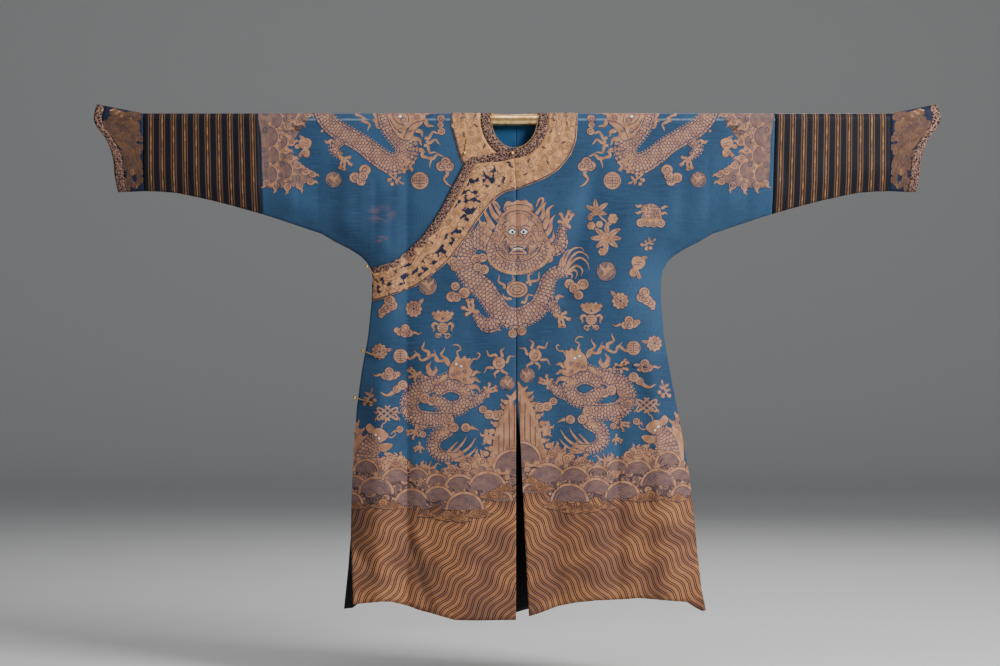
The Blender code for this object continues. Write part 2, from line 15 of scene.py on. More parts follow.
import bmesh
import bpy
import numpy as np
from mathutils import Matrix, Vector

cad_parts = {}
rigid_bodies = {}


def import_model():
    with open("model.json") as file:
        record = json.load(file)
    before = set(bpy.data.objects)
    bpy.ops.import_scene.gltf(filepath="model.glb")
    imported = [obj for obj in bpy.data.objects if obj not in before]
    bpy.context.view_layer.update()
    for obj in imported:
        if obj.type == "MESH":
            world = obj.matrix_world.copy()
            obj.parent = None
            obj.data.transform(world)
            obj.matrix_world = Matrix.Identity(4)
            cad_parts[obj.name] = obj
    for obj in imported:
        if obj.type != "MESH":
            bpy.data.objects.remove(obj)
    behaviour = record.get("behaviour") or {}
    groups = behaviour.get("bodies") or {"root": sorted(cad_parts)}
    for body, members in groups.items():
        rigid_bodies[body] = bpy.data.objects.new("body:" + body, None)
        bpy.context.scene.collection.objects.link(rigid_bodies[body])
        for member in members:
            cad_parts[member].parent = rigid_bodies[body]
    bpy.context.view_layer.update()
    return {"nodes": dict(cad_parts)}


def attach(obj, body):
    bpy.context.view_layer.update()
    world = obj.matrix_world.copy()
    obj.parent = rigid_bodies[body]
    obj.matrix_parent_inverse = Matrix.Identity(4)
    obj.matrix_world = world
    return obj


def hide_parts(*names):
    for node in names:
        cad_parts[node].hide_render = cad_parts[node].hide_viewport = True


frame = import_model()

log = logging.getLogger("robe")
MM = 0.001
Table = Sequence[tuple[float, ...]]
Flat = Callable[[np.ndarray, np.ndarray], tuple[np.ndarray, np.ndarray]]


class Face(Enum):
    """The side of the robe that a sheet belongs to; its value is the sign of Y."""

    FRONT = -1
    BACK = 1


class Side(Enum):
    """The wearer's side, whose value is the sign of X."""

    LEFT = 1
    RIGHT = -1


class Layer(Enum):
    """Which of the two overlapping layers a sheet lies in."""

    UNDER = "under"
    LAP = "lap"


def smooth(value: np.ndarray) -> np.ndarray:
    """Eases a share from 0 to 1."""
    value = np.clip(value, 0.0, 1.0)
    return value * value * (3 - 2 * value)


def read(rows: Table, value: np.ndarray, column: int = 1) -> np.ndarray:
    """Reads a column of a table by straight runs between its rows.

    Args:
        rows: the table, whose first column gives the place.
        value: the places to read at.
        column: the column to read.

    Returns:
        The column's values at those places.
    """
    ordered = np.array(sorted(rows), dtype=float)
    return np.interp(value, ordered[:, 0], ordered[:, column])


def spline(points: Sequence[Sequence[float]], count: int, closed: bool = False) -> np.ndarray:
    """Draws a smooth line through points, with evenly spread places.

    Args:
        points: the points that it passes.
        count: how many places to return.
        closed: whether the line closes on itself.

    Returns:
        An array of places, one a row.
    """
    given = np.array(points, dtype=float)
    if closed:
        given = np.vstack([given[-1], given, given[0], given[1]])
    else:
        given = np.vstack([2 * given[0] - given[1], given, 2 * given[-1] - given[-2]])
    fine = []
    for a, b, c, d in zip(given, given[1:], given[2:], given[3:]):
        share = np.linspace(0, 1, 9)[:-1, None]
        fine.append(
            0.5 * (2 * b + (c - a) * share + (2 * a - 5 * b + 4 * c - d) * share**2
                   + (3 * b - a - 3 * c + d) * share**3)
        )
    fine = np.vstack([*fine, given[-2][None]])
    run = np.concatenate([[0], np.cumsum(np.linalg.norm(np.diff(fine, axis=0), axis=1))])
    places = np.linspace(0, run[-1], count + 1 if closed else count)
    line = np.stack([np.interp(places, run, fine[:, axis]) for axis in range(given.shape[1])], axis=1)
    return line[:-1] if closed else line


@dataclass(frozen=True)
class Drape:
    """The way that the robe hangs: over the rod, down to the hem, and together at its seams."""

    over_rod: float = 15.65 * MM
    hem_depth: float = 31 * MM
    hem_level: float = 1260 * MM
    closing: float = 70 * MM
    lap_rise: float = 4.4 * MM
    lap_drop: float = 70 * MM
    lap_reach: float = 330 * MM
    lap_fade: float = 250 * MM
    slit_top: float = -1084 * MM
    slit_ease: float = 100 * MM
    fold_ease: float = 90 * MM
    fold_run: float = 1300 * MM
    half_seam: float = 0.15 * MM
    # distance from the centre, height of the sleeve's lower seam, in mm
    sleeve_low: Table = (
        (374, -416), (378, -393), (389, -372), (408, -354), (439, -335), (476, -317), (512, -296),
        (567, -278), (621, -260), (669, -245), (741, -224), (790, -211), (837, -200), (884, -190),
        (931, -186), (970, -185),
    )
    # height, distance of the body's edge from the centre, in mm
    left_edge: Table = (
        (-416, 377), (-463, 377), (-564, 387), (-650, 403), (-746, 416), (-850, 424), (-991, 430),
        (-1084, 432), (-1131, 429), (-1300, 422),
    )
    right_edge: Table = (
        (-416, 374), (-468, 374), (-566, 382), (-671, 401), (-775, 421), (-905, 445), (-1050, 463),
        (-1123, 468), (-1214, 477), (-1271, 489), (-1300, 494),
    )
    # folds: x at the rod, x at the hem, upper end, lower end, half width, height, in mm
    front_folds: Table = (
        (-351, -356, -640, -1300, 27, 9.0), (-236, -232, -760, -1300, 30, -6.5),
        (-120, -128, -700, -1300, 52, 8.0), (289, 289, -160, -640, 30, 4.0), (229, -60, -70, -470, 26, -8.0),
        (92, 102, -820, -1300, 32, -8.0), (180, 196, -760, -1300, 40, 8.0), (246, 262, -640, -1300, 22, -6.0),
        (322, 392, -560, -1300, 30, 8.5), (-447, -420, -40, -300, 26, 5.0), (-590, -560, -30, -240, 26, 4.5),
        (560, 540, -40, -270, 26, 4.5), (430, 420, -60, -300, 24, -4.0),
    )
    back_folds: Table = (
        (-289, -289, -120, -1300, 26, 6.0), (289, 289, -120, -1300, 26, 6.0),
        (-170, -185, -420, -1300, 44, 5.0), (160, 175, -480, -1300, 42, 5.0),
        (-360, -400, -560, -1300, 34, 5.0), (365, 420, -520, -1300, 34, 5.0), (30, 40, -620, -1300, 46, -4.0),
        (-470, -450, -60, -290, 26, 4.5), (500, 480, -60, -290, 26, 4.5),
    )
    # creases: x at the rod, x at the hem, upper end, lower end, half width, height, in mm
    front_creases: Table = (
        (-286, -285, -110, -1300, 24, -8.5), (-286, -284, -620, -1300, 38, -9),
        (-287, -286, -880, -1300, 30, -5), (-565, -224, -1040, -1290, 12, -4),
        (-538, -197, -1040, -1290, 12, 2.6), (-2.6, -2.6, -77, -736, 6, -2.4), (-30, -28, -180, -700, 9, 0.9),
        (-367, -372, -130, -340, 10, -2.4), (-325, -330, -130, -330, 9, -1.8),
        (-405, -400, -120, -330, 9, 1.2), (-569, -560, -30, -250, 9, -1.6), (-520, -500, -120, -280, 9, -1.4),
        (-228, -236, -900, -1290, 10, 1.0), (-118, -126, -560, -1250, 13, 0.9),
        (-66, -60, -820, -1290, 9, 0.8), (60, 66, -420, -900, 14, 0.8), (262, 266, -700, -1290, 10, -2.0),
        (318, 372, -860, -1290, 7, 1.2), (377, 440, -600, -1290, 8, 1.1), (500, 480, -60, -270, 10, -1.6),
        (600, 590, -30, -230, 8, -1.4), (690, 760, -40, -190, 9, -1.6), (800, 860, -60, -190, 9, -1.6),
        (-760, -820, -50, -190, 9, -1.6), (-860, -930, -60, -190, 9, -1.4),
    )
    back_creases: Table = (
        (-297, -291, -60, -1290, 14, -3.0), (-240, -246, -560, -1290, 10, 0.9),
        (-120, -130, -420, -1100, 12, 0.8), (-388, -410, -520, -1290, 9, 1.0), (70, 76, -640, -1290, 10, 0.8),
        (196, 208, -360, -1290, 12, 0.9), (295, 288, -60, -1290, 12, -2.6), (396, 430, -560, -1290, 8, 0.9),
        (-520, -510, -40, -250, 9, -1.4), (430, 424, -40, -280, 9, -1.4), (610, 600, -30, -230, 8, -1.2),
        (-2.6, -2.6, -20, -1300, 6, -2.0),
    )

    @property
    def quarter(self) -> float:
        """Length of cloth from the ridge to the level of the rod's axis."""
        return self.over_rod * math.pi / 2

    def low(self, distance: np.ndarray) -> np.ndarray:
        """Height of the sleeve's lower seam at a distance from the centre."""
        return read(self.sleeve_low, np.abs(distance) / MM) * MM

    def seam_distance(self, x: np.ndarray, z: np.ndarray) -> np.ndarray:
        """Distance from the seam along sleeve and body, where front and back meet.

        Args:
            x: places across.
            z: heights.

        Returns:
            The distances.
        """
        found = np.empty_like(x)
        for chosen, edge in ((x < 0, self.left_edge), (x >= 0, self.right_edge)):
            line = np.array([*reversed(self.sleeve_low), *((h, d) for d, h in edge)]) * MM
            px, pz = np.abs(x[chosen])[:, None], z[chosen][:, None]
            start, run = line[:-1], np.diff(line, axis=0)
            keep = np.linalg.norm(run, axis=1) > MM
            start, run = start[keep], run[keep]
            share = ((px - start[:, 0]) * run[:, 0] + (pz - start[:, 1]) * run[:, 1]) / (run**2).sum(axis=1)
            share = np.clip(share, 0, 1)
            away = np.hypot(px - start[:, 0] - run[:, 0] * share, pz - start[:, 1] - run[:, 1] * share)
            found[chosen] = away.min(axis=1)
        return found

    def fold_height(self, x: np.ndarray, z: np.ndarray, folds: Table, ease: float,
                    power: float) -> np.ndarray:
        """How far folds push the cloth out.

        Args:
            x: places across.
            z: heights.
            folds: the folds' table.
            ease: length over which a fold comes up at its upper end.
            power: 2 for a round back; less for a sharper one.

        Returns:
            The heights of the folds.
        """
        height = np.zeros_like(x)
        for top_x, hem_x, upper, lower, half_width, rise in folds:
            centre = (top_x + (hem_x - top_x) * np.minimum(-z / self.fold_run, 1)) * MM
            reach = np.exp(-(np.abs((x - centre) / (half_width * MM)) ** power))
            inside = (z >= lower * MM) & (z <= upper * MM + ease)
            height += inside * rise * MM * reach * smooth((upper * MM - z) / ease)
        return height

    def waves(self, x: np.ndarray, z: np.ndarray, face: Face) -> np.ndarray:
        """Slow unevenness of hung gauze, a fraction of a millimetre."""
        turn = 0.0 if face is Face.FRONT else 1.9
        slow = np.sin(x * 31 + z * 7 + turn) * np.sin(x * 13 - z * 17 + 2.1 * turn)
        quick = np.sin(x * 83 + 4 * np.sin(z * 11) + turn) * np.sin(z * 29 + x * 9 + turn)
        return (0.9 * slow + 0.35 * quick) * MM

    def room(self, x: np.ndarray, z: np.ndarray, face: Face) -> np.ndarray:
        """Distance of a sheet's inner side from the robe's middle plane, below the rod."""
        full = self.over_rod + (self.hem_depth - self.over_rod) * smooth(-z / self.hem_level)
        folds = self.front_folds if face is Face.FRONT else self.back_folds
        creases = self.front_creases if face is Face.FRONT else self.back_creases
        full = full + self.fold_height(x, z, folds, self.fold_ease, 2.0)
        full = full + self.fold_height(x, z, creases, self.fold_ease / 2, 1.25) * smooth((-z - 0.03) / 0.05)
        full = full + self.waves(x, z, face) * smooth((-z - 0.03) / 0.12)
        share = np.sin(math.pi / 2 * np.minimum(self.seam_distance(x, z) / self.closing, 1))
        share = np.maximum(share, smooth((self.slit_top - z) / self.slit_ease))
        return self.half_seam + share * full

    def lap_lift(self, x: np.ndarray, z: np.ndarray) -> np.ndarray:
        """How far the outer layer stands in front of the under layer."""
        drop = smooth(-z / self.lap_drop)
        return self.lap_rise * drop * smooth((self.lap_reach - x) / self.lap_fade)

    def lay(
        self, x: np.ndarray, v: np.ndarray, face: Face, layer: Layer, lift: np.ndarray | float
    ) -> np.ndarray:
        """Lays places of the flat cut over the rod and down the robe.

        Args:
            x: places across, in metres.
            v: places down from the level of the rod's axis; past the ridge they go down the other side.
            face: the side that they start on.
            layer: the outer layer of the front stands off by the lap's lift.
            lift: height over the sheet's inner side.

        Returns:
            Points in the robe's frame, one a row.
        """
        lift = np.broadcast_to(np.asarray(lift, dtype=float), x.shape)
        out = np.empty((len(x), 3))
        out[:, 0] = x
        near, far = v > 0, v < -2 * self.quarter
        ridge = ~(near | far)
        turn = (v[ridge] + self.quarter) / self.over_rod
        least = self.half_seam / self.over_rod
        turn = np.where(np.abs(turn) < least, least, turn)
        radius = self.over_rod + lift[ridge]
        out[ridge, 1] = face.value * radius * np.sin(turn)
        out[ridge, 2] = radius * np.cos(turn)
        z = -v[near]
        extra = self.lap_lift(x[near], z) if layer is Layer.LAP else 0.0
        out[near, 1] = face.value * (self.room(x[near], z, face) + lift[near] + extra)
        out[near, 2] = z
        z = v[far] + 2 * self.quarter
        other = Face.BACK if face is Face.FRONT else Face.FRONT
        out[far, 1] = other.value * (self.room(x[far], z, other) + lift[far])
        out[far, 2] = z
        return out


DRAPE = Drape()


class Sheet:
    """A thin shell of cloth, drawn on the flat cut and then laid on the robe's form."""

    def __init__(self, name: str, face: Face, layer: Layer, lift: float, wall: float) -> None:
        """Starts an empty sheet.

        Args:
            name: the piece's name.
            face: the side that it hangs on.
            layer: the layer that it lies in.
            lift: height of its outer side over the inner side of the robe's cloth there.
            wall: its thickness.
        """
        self.name, self.face, self.layer, self.lift, self.wall = name, face, layer, lift, wall
        self.shape = bmesh.new()

    def stretch(self, columns: int, rows: int, flat: Flat) -> None:
        """Adds a stretch of flat cloth from a grid.

        Args:
            columns: faces across.
            rows: faces down.
            flat: gives x and v for the shares across and down.
        """
        made = bmesh.ops.create_grid(self.shape, x_segments=columns, y_segments=rows, size=0.5)["verts"]
        shares = np.array([(one.co.x + 0.5, one.co.y + 0.5) for one in made])
        x, v = flat(shares[:, 0], shares[:, 1])
        for one, place_x, place_v in zip(made, x, v):
            one.co = (place_x, place_v, 0)

    def finish(
        self,
        dress: Sequence[bpy.types.Material],
        ease: Optional[Callable[[np.ndarray, np.ndarray], np.ndarray]] = None,
        grain: Optional[Flat] = None,
        place: Optional[Callable[[np.ndarray, np.ndarray], np.ndarray]] = None,
    ) -> bpy.types.Object:
        """Lays the flat cloth on the form and gives it its wall.

        Args:
            dress: the finishes of its outer and its inner side.
            ease: extra height for places of the flat cut.
            grain: gives the pattern's own coordinates; without it they are x and v.
            place: lays the flat places in another way than over the rod.

        Returns:
            The finished piece.
        """
        shape = self.shape
        bmesh.ops.remove_doubles(shape, verts=shape.verts, dist=0.05 * MM)
        flat = np.array([one.co[:2] for one in shape.verts])
        u, v = grain(flat[:, 0], flat[:, 1]) if grain else (flat[:, 0], flat[:, 1])
        shape.verts.index_update()
        across = shape.loops.layers.uv.new("cloth")
        for one in shape.faces:
            for corner in one.loops:
                corner[across].uv = (u[corner.vert.index], v[corner.vert.index])
        if place:
            points = place(flat[:, 0], flat[:, 1])
        else:
            lift = self.lift + (ease(flat[:, 0], flat[:, 1]) if ease else 0.0)
            points = DRAPE.lay(flat[:, 0], flat[:, 1], self.face, self.layer, lift)
        for one, point in zip(shape.verts, points):
            one.co = point
        bmesh.ops.recalc_face_normals(shape, faces=shape.faces)
        outward = sum(one.normal.y * one.calc_area() for one in shape.faces)
        if outward * self.face.value < 0:
            bmesh.ops.reverse_faces(shape, faces=shape.faces)
        data = bpy.data.meshes.new(self.name)
        shape.to_mesh(data)
        shape.free()
        data.shade_smooth()
        made = bpy.data.objects.new(self.name, data)
        bpy.context.scene.collection.objects.link(made)
        for one in dress:
            data.materials.append(one)
        shell = made.modifiers.new("wall", "SOLIDIFY")
        shell.thickness = self.wall
        shell.offset = -1
        if len(dress) > 1:
            shell.material_offset = 1
        return made


def add_node(
    tree: bpy.types.NodeTree, kind: str, settings: Optional[dict] = None, links: Optional[dict] = None
) -> bpy.types.Node:
    """Adds a node with its settings and links.

    Args:
        tree: the material's tree.
        kind: the node's type.
        settings: values by the name of an input, its number, or a property of the node.
        links: the sockets that feed its inputs, by their name or number.

    Returns:
        The node.
    """
    made = tree.nodes.new(kind)
    for name, value in (settings or {}).items():
        if isinstance(name, int) or name in made.inputs:
            made.inputs[name].default_value = value
        else:
            setattr(made, name, value)
    for name, source in (links or {}).items():
        tree.links.new(source, made.inputs[name])
    return made


def colour(value: str) -> tuple[float, float, float, float]:
    """Turns an sRGB hex value to a linear colour."""
    parts = [int(value[place:place + 2], 16) / 255 for place in (1, 3, 5)]
    linear = [one / 12.92 if one <= 0.04045 else ((one + 0.055) / 1.055) ** 2.4 for one in parts]
    return (*linear, 1.0)


def blend(tree: bpy.types.NodeTree, share: bpy.types.NodeSocket, low: object,
          high: object) -> bpy.types.NodeSocket:
    """Mixes two colours, each a hex value or a socket, by a share."""
    made = add_node(tree, "ShaderNodeMix", {"data_type": "RGBA"}, {0: share})
    for place, one in ((6, low), (7, high)):
        if isinstance(one, str):
            made.inputs[place].default_value = colour(one)
        else:
            tree.links.new(one, made.inputs[place])
    return made.outputs[2]


def maths(tree: bpy.types.NodeTree, operation: str, *values: object) -> bpy.types.NodeSocket:
    """Works out a number from numbers and sockets."""
    made = add_node(tree, "ShaderNodeMath", {"operation": operation})
    for place, one in enumerate(values):
        if isinstance(one, (int, float)):
            made.inputs[place].default_value = one
        else:
            tree.links.new(one, made.inputs[place])
    return made.outputs[0]


def window(tree: bpy.types.NodeTree, value: object, low: float, high: float) -> bpy.types.NodeSocket:
    """Runs from 0 to 1 softly while a value goes from low to high."""
    made = add_node(
        tree, "ShaderNodeMapRange", {"interpolation_type": "SMOOTHSTEP", "From Min": low, "From Max": high}
    )
    tree.links.new(value, made.inputs["Value"])
    return made.outputs[0]


@dataclass(frozen=True)
class Finish:
    """What every finish has: a name, a roughness and what its shader starts from."""

    name: str
    roughness: float = 0.75
    metallic: float = 0.0
    sheen: float = 0.0
    gloss: float = 0.22

    def start(self) -> tuple[bpy.types.Material, bpy.types.NodeTree, bpy.types.Node]:
        """Makes the material with the settings that are the same all over."""
        made = bpy.data.materials.new(self.name)
        made.use_nodes = True
        tree = made.node_tree
        shader = tree.nodes["Principled BSDF"]
        shader.inputs["Roughness"].default_value = self.roughness
        shader.inputs["Metallic"].default_value = self.metallic
        shader.inputs["Sheen Weight"].default_value = self.sheen
        shader.inputs["Sheen Roughness"].default_value = 0.5
        shader.inputs["Specular IOR Level"].default_value = self.gloss
        return made, tree, shader

    def flat(self, tree: bpy.types.NodeTree) -> tuple[bpy.types.NodeSocket, bpy.types.NodeSocket,
                                                      bpy.types.Node]:
        """Reads the cloth's own coordinates, in metres: across, down, and the node of both."""
        place = add_node(tree, "ShaderNodeUVMap", {"uv_map": "cloth"})
        parts = add_node(tree, "ShaderNodeSeparateXYZ", links={0: place.outputs[0]})
        return parts.outputs[0], parts.outputs[1], place

    def speckle(
        self, tree: bpy.types.NodeTree, place: bpy.types.Node, across: float, down: float, detail: float = 2.0
    ) -> bpy.types.NodeSocket:
        """Noise whose grains are across by down metres large."""
        scaled = add_node(
            tree, "ShaderNodeMapping", {"Scale": (1 / across, 1 / down, 1.0)}, {"Vector": place.outputs[0]}
        )
        noise = add_node(tree, "ShaderNodeTexNoise", {"Scale": 1.0, "Detail": detail},
                         {"Vector": scaled.outputs[0]})
        return noise.outputs["Fac"]

    def ribs(self, tree: bpy.types.NodeTree, place: bpy.types.Node, apart: float) -> bpy.types.NodeSocket:
        """Soft ribs that run across; a wave node at scale 1 has them a tenth of pi apart."""
        wave = {"Scale": math.pi / 10 / apart, "bands_direction": "Y"}
        return add_node(tree, "ShaderNodeTexWave", wave, {"Vector": place.outputs[0]}).outputs["Fac"]

    def relief(
        self, tree: bpy.types.NodeTree, shader: bpy.types.Node, height: bpy.types.NodeSocket,
        strength: float = 0.4,
        distance: float = 0.2 * MM,
    ) -> None:
        """Raises the surface by a height."""
        bump = add_node(tree, "ShaderNodeBump", {"Strength": strength, "Distance": distance},
                        {"Height": height})
        tree.links.new(bump.outputs[0], shader.inputs["Normal"])


@dataclass(frozen=True)
class SilkGauze(Finish):
    """Blue silk gauze, plain woven and brocaded, with water stripes above the hem.

    The threads are half a millimetre apart, too fine to show; faint ribs and slubs stand for them.
    """

    name: str = "blue_silk_gauze"
    roughness: float = 0.7
    sheen: float = 0.08
    ground: str = "#1D3A56"
    lit: str = "#2B4D6C"
    shade: str = "#142B45"
    foam: str = "#65493F"
    foam_dark: str = "#3C2F3A"
    water: str = "#A8724B"
    water_dark: str = "#78513C"
    line: str = "#14131F"
    foam_level: float = 912 * MM
    water_level: float = 1000 * MM
    vent_rise: float = 62 * MM
    pitch: float = 20.3 * MM
    lean: float = -1.0
    slope: float = 0.73
    swing: float = 5.8 * MM
    bend_run: float = 86 * MM
    rib: float = 10.05 * MM
    # painted highlight: pale colour of the line along the shoulder's fold, where the rod's highlight shows
    # through the gauze
    rod_highlight: str = "#8A97A6"
    stained: str = "#6A5060"
    # stains: place across and down, reach, in mm
    stains: Table = ()

    def cloth(self, tree: bpy.types.NodeTree, place: bpy.types.Node,
              slub: bpy.types.NodeSocket) -> bpy.types.NodeSocket:
        """Colour of the blue ground, with painted light and shade in broad soft patches, and uneven along its
        threads.
        """
        cloud = self.speckle(tree, place, 0.16, 0.28)
        warp = self.speckle(tree, place, 0.0022, 0.02, 2.0)
        blue = blend(tree, window(tree, cloud, 0.35, 0.68), self.ground, self.lit)
        blue = blend(tree, maths(tree, "MULTIPLY", window(tree, slub, 0.42, 0.7), 0.7), blue, self.lit)
        return blend(tree, maths(tree, "MULTIPLY", window(tree, warp, 0.5, 0.8), 0.6), blue, self.shade)

    def stripes(self, tree: bpy.types.NodeTree, u: object, v: object,
                place: bpy.types.Node) -> bpy.types.NodeSocket:
        """Colour of the water, in pairs of dark lines that lean and sway."""
        size = math.hypot(1, self.slope)
        across = maths(tree, "DIVIDE", maths(tree, "MULTIPLY_ADD", v, self.lean * self.slope, u), size)
        along = maths(tree, "DIVIDE", maths(tree, "MULTIPLY_ADD", u, -self.lean * self.slope, v), size)
        drift = maths(tree, "MULTIPLY", maths(tree, "SINE", maths(tree, "MULTIPLY", u, 15.0)), 0.6)
        bend = maths(tree, "SINE", maths(tree, "ADD",
                                         maths(tree, "DIVIDE", along, self.bend_run / 2 / math.pi), drift))
        run = maths(tree, "MULTIPLY_ADD", bend, self.swing * self.lean, across)
        phase = maths(tree, "FRACT", maths(tree, "DIVIDE", run, self.pitch / size))
        away = maths(tree, "ABSOLUTE", maths(tree, "SUBTRACT", phase, 0.5))
        lines = window(tree, maths(tree, "ABSOLUTE", maths(tree, "SUBTRACT", away, 0.15)), 0.086, 0.056)
        patchy = self.speckle(tree, place, 0.13, 0.11, 2.0)
        worn = self.speckle(tree, place, 0.012, 0.003, 3.0)
        brown = blend(tree, window(tree, patchy, 0.35, 0.65), self.water_dark, self.water)
        brown = blend(tree, maths(tree, "MULTIPLY", window(tree, worn, 0.45, 0.75), 0.6), brown,
                      self.water_dark)
        return blend(tree, lines, brown, self.line)

    def stains_and_rod_highlight(
        self, tree: bpy.types.NodeTree, u: object, v: object, place: bpy.types.Node,
        base: bpy.types.NodeSocket
    ) -> bpy.types.NodeSocket:
        """Adds a painted highlight of the rod along the shoulder's fold, and the stains of the wearer's right
        sleeve.
        """
        patchy = self.speckle(tree, place, 0.03, 0.012, 3.0)
        # painted highlight: a pale, patchy line within a few millimetres of the ridge stands for the rod's
        # highlight seen through the gauze
        worn = maths(tree, "MULTIPLY", window(tree, maths(tree, "ABSOLUTE", v), 0.0034, 0.0012),
                     window(tree, patchy, 0.3, 0.55))
        base = blend(tree, maths(tree, "MULTIPLY", worn, 0.5), base, self.rod_highlight)
        for across, down, reach in self.stains:
            x = maths(tree, "DIVIDE", maths(tree, "SUBTRACT", u, across * MM), reach * MM)
            y = maths(tree, "DIVIDE", maths(tree, "SUBTRACT", v, down * MM), 0.6 * reach * MM)
            away = maths(tree, "ADD", maths(tree, "MULTIPLY", x, x), maths(tree, "MULTIPLY", y, y))
            spot = maths(tree, "MULTIPLY", window(tree, away, 1.0, 0.1), window(tree, patchy, 0.38, 0.6))
            base = blend(tree, maths(tree, "MULTIPLY", spot, 0.5), base, self.stained)
        return base

    def make(self) -> bpy.types.Material:
        """Makes the material."""
        made, tree, shader = self.start()
        u, v, place = self.flat(tree)
        slub = self.speckle(tree, place, 0.05, 0.0022, 3.0)
        scribble = self.speckle(tree, place, 0.006, 0.004, 3.0)
        froth = blend(tree, window(tree, scribble, 0.42, 0.6), self.foam, self.foam_dark)
        rise = maths(tree, "MULTIPLY", window(tree, maths(tree, "ABSOLUTE", u), 0.14, 0.03), self.vent_rise)
        level = maths(tree, "SUBTRACT", self.water_level, rise)
        edge = maths(tree, "SUBTRACT", v, level)
        top = maths(tree, "SUBTRACT", v, maths(tree, "SUBTRACT", self.foam_level,
                                               maths(tree, "MULTIPLY", rise, 0.3)))
        base = blend(tree, window(tree, top, -0.004, 0.004), self.cloth(tree, place, slub), froth)
        base = blend(tree, window(tree, edge, -0.003, 0.001), base, self.stripes(tree, u, v, place))
        base = self.stains_and_rod_highlight(tree, u, v, place, base)
        tree.links.new(base, shader.inputs["Base Color"])
        height = maths(tree, "MULTIPLY_ADD", slub, 0.8, self.ribs(tree, place, self.rib))
        self.relief(tree, shader, height, 0.35)
        return made


@dataclass(frozen=True)
class StripedSilk(Finish):
    """Dark silk with groups of three gold stripes along the sleeve's own grain."""

    name: str = "striped_silk"
    roughness: float = 0.6
    sheen: float = 0.03
    ground: str = "#0A0D1B"
    dark: str = "#06080F"
    gold: str = "#6B4A30"
    bright: str = "#A0744A"
    first: float = 687 * MM
    pitch: float = 29.2 * MM
    last: float = 957 * MM

    def make(self) -> bpy.types.Material:
        """Makes the material."""
        made, tree, shader = self.start()
        u, _, place = self.flat(tree)
        slub = self.speckle(tree, place, 0.03, 0.002, 3.0)
        ground = blend(tree, window(tree, slub, 0.4, 0.7), self.ground, self.dark)
        step = maths(tree, "DIVIDE", maths(tree, "SUBTRACT", u, self.first), self.pitch)
        away = maths(tree, "ABSOLUTE", maths(tree, "SUBTRACT",
                                             maths(tree, "FRACT", maths(tree, "ADD", step, 0.5)), 0.5))
        inside = maths(tree, "MULTIPLY", maths(tree, "GREATER_THAN", u, self.first - 0.012),
                       maths(tree, "LESS_THAN", u, self.last + 0.006))
        middle = maths(tree, "MULTIPLY", window(tree, away, 0.07, 0.04), inside)
        outer = maths(tree, "ABSOLUTE", maths(tree, "SUBTRACT", away, 0.205))
        outer = maths(tree, "MULTIPLY", window(tree, outer, 0.06, 0.035), inside)
        worn = self.speckle(tree, place, 0.006, 0.02, 2.0)
        gold = blend(tree, window(tree, worn, 0.35, 0.7), self.gold, self.bright)
        base = blend(tree, maths(tree, "MULTIPLY", outer, 0.8), ground, self.gold)
        base = blend(tree, middle, base, gold)
        tree.links.new(base, shader.inputs["Base Color"])
        self.relief(tree, shader, maths(tree, "ADD", slub, maths(tree, "MAXIMUM", middle, outer)))
        return made


@dataclass(frozen=True)
class Thread(Finish):
    """Silk or gilt thread floated over the ground, whose fine floats are drawn as soft ribs and grain."""

    light: str = "#B08A70"
    deep: str = "#8A6650"
    rib: float = 15.08 * MM

    def make(self) -> bpy.types.Material:
        """Makes the material."""
        made, tree, shader = self.start()
        place = self.flat(tree)[2]
        worn = self.speckle(tree, place, 0.02, 0.03, 2.0)
        grain = self.speckle(tree, place, 0.004, 0.0016, 2.0)
        base = blend(tree, window(tree, worn, 0.35, 0.68), self.light, self.deep)
        base = blend(tree, window(tree, grain, 0.45, 0.75), base, self.deep)
        tree.links.new(base, shader.inputs["Base Color"])
        self.relief(tree, shader, maths(tree, "ADD", self.ribs(tree, place, self.rib), grain))
        return made


@dataclass(frozen=True)
class ScaleThread(Thread):
    """The same thread with a dragon's scales drawn in blue lines, 11.5 mm wide on the chest's dragon."""

    name: str = "tan_silk_scales"
    line: str = "#323C56"
    wide: float = 11.5 * MM
    tall: float = 8.5 * MM

    def make(self) -> bpy.types.Material:
        """Makes the material."""
        made, tree, shader = self.start()
        u, v, place = self.flat(tree)
        worn = self.speckle(tree, place, 0.02, 0.03, 2.0)
        base = blend(tree, window(tree, worn, 0.35, 0.68), self.light, self.deep)
        row = maths(tree, "DIVIDE", u, self.tall)
        shift = maths(tree, "MULTIPLY", maths(tree, "PINGPONG", maths(tree, "FLOOR", row), 1.0), 0.5)
        across = maths(tree, "SUBTRACT", maths(tree, "FRACT",
                                               maths(tree, "ADD", maths(tree, "DIVIDE", v, self.wide),
                                                     shift)), 0.5)
        arch = maths(tree, "SUBTRACT", 1.0, maths(tree, "MULTIPLY",
                                                  maths(tree, "POWER", maths(tree, "ABSOLUTE", across), 2.0),
                                                  4.0))
        arch = maths(tree, "SQRT", maths(tree, "MAXIMUM", arch, 0.0))
        away = maths(tree, "ABSOLUTE", maths(tree, "SUBTRACT", maths(tree, "FRACT", row),
                                             maths(tree, "MULTIPLY", arch, 0.93)))
        lines = window(tree, away, 0.28, 0.13)
        tree.links.new(blend(tree, lines, base, self.line), shader.inputs["Base Color"])
        self.relief(tree, shader, maths(tree, "SUBTRACT", worn, lines), 0.4, 0.3 * MM)
        return made


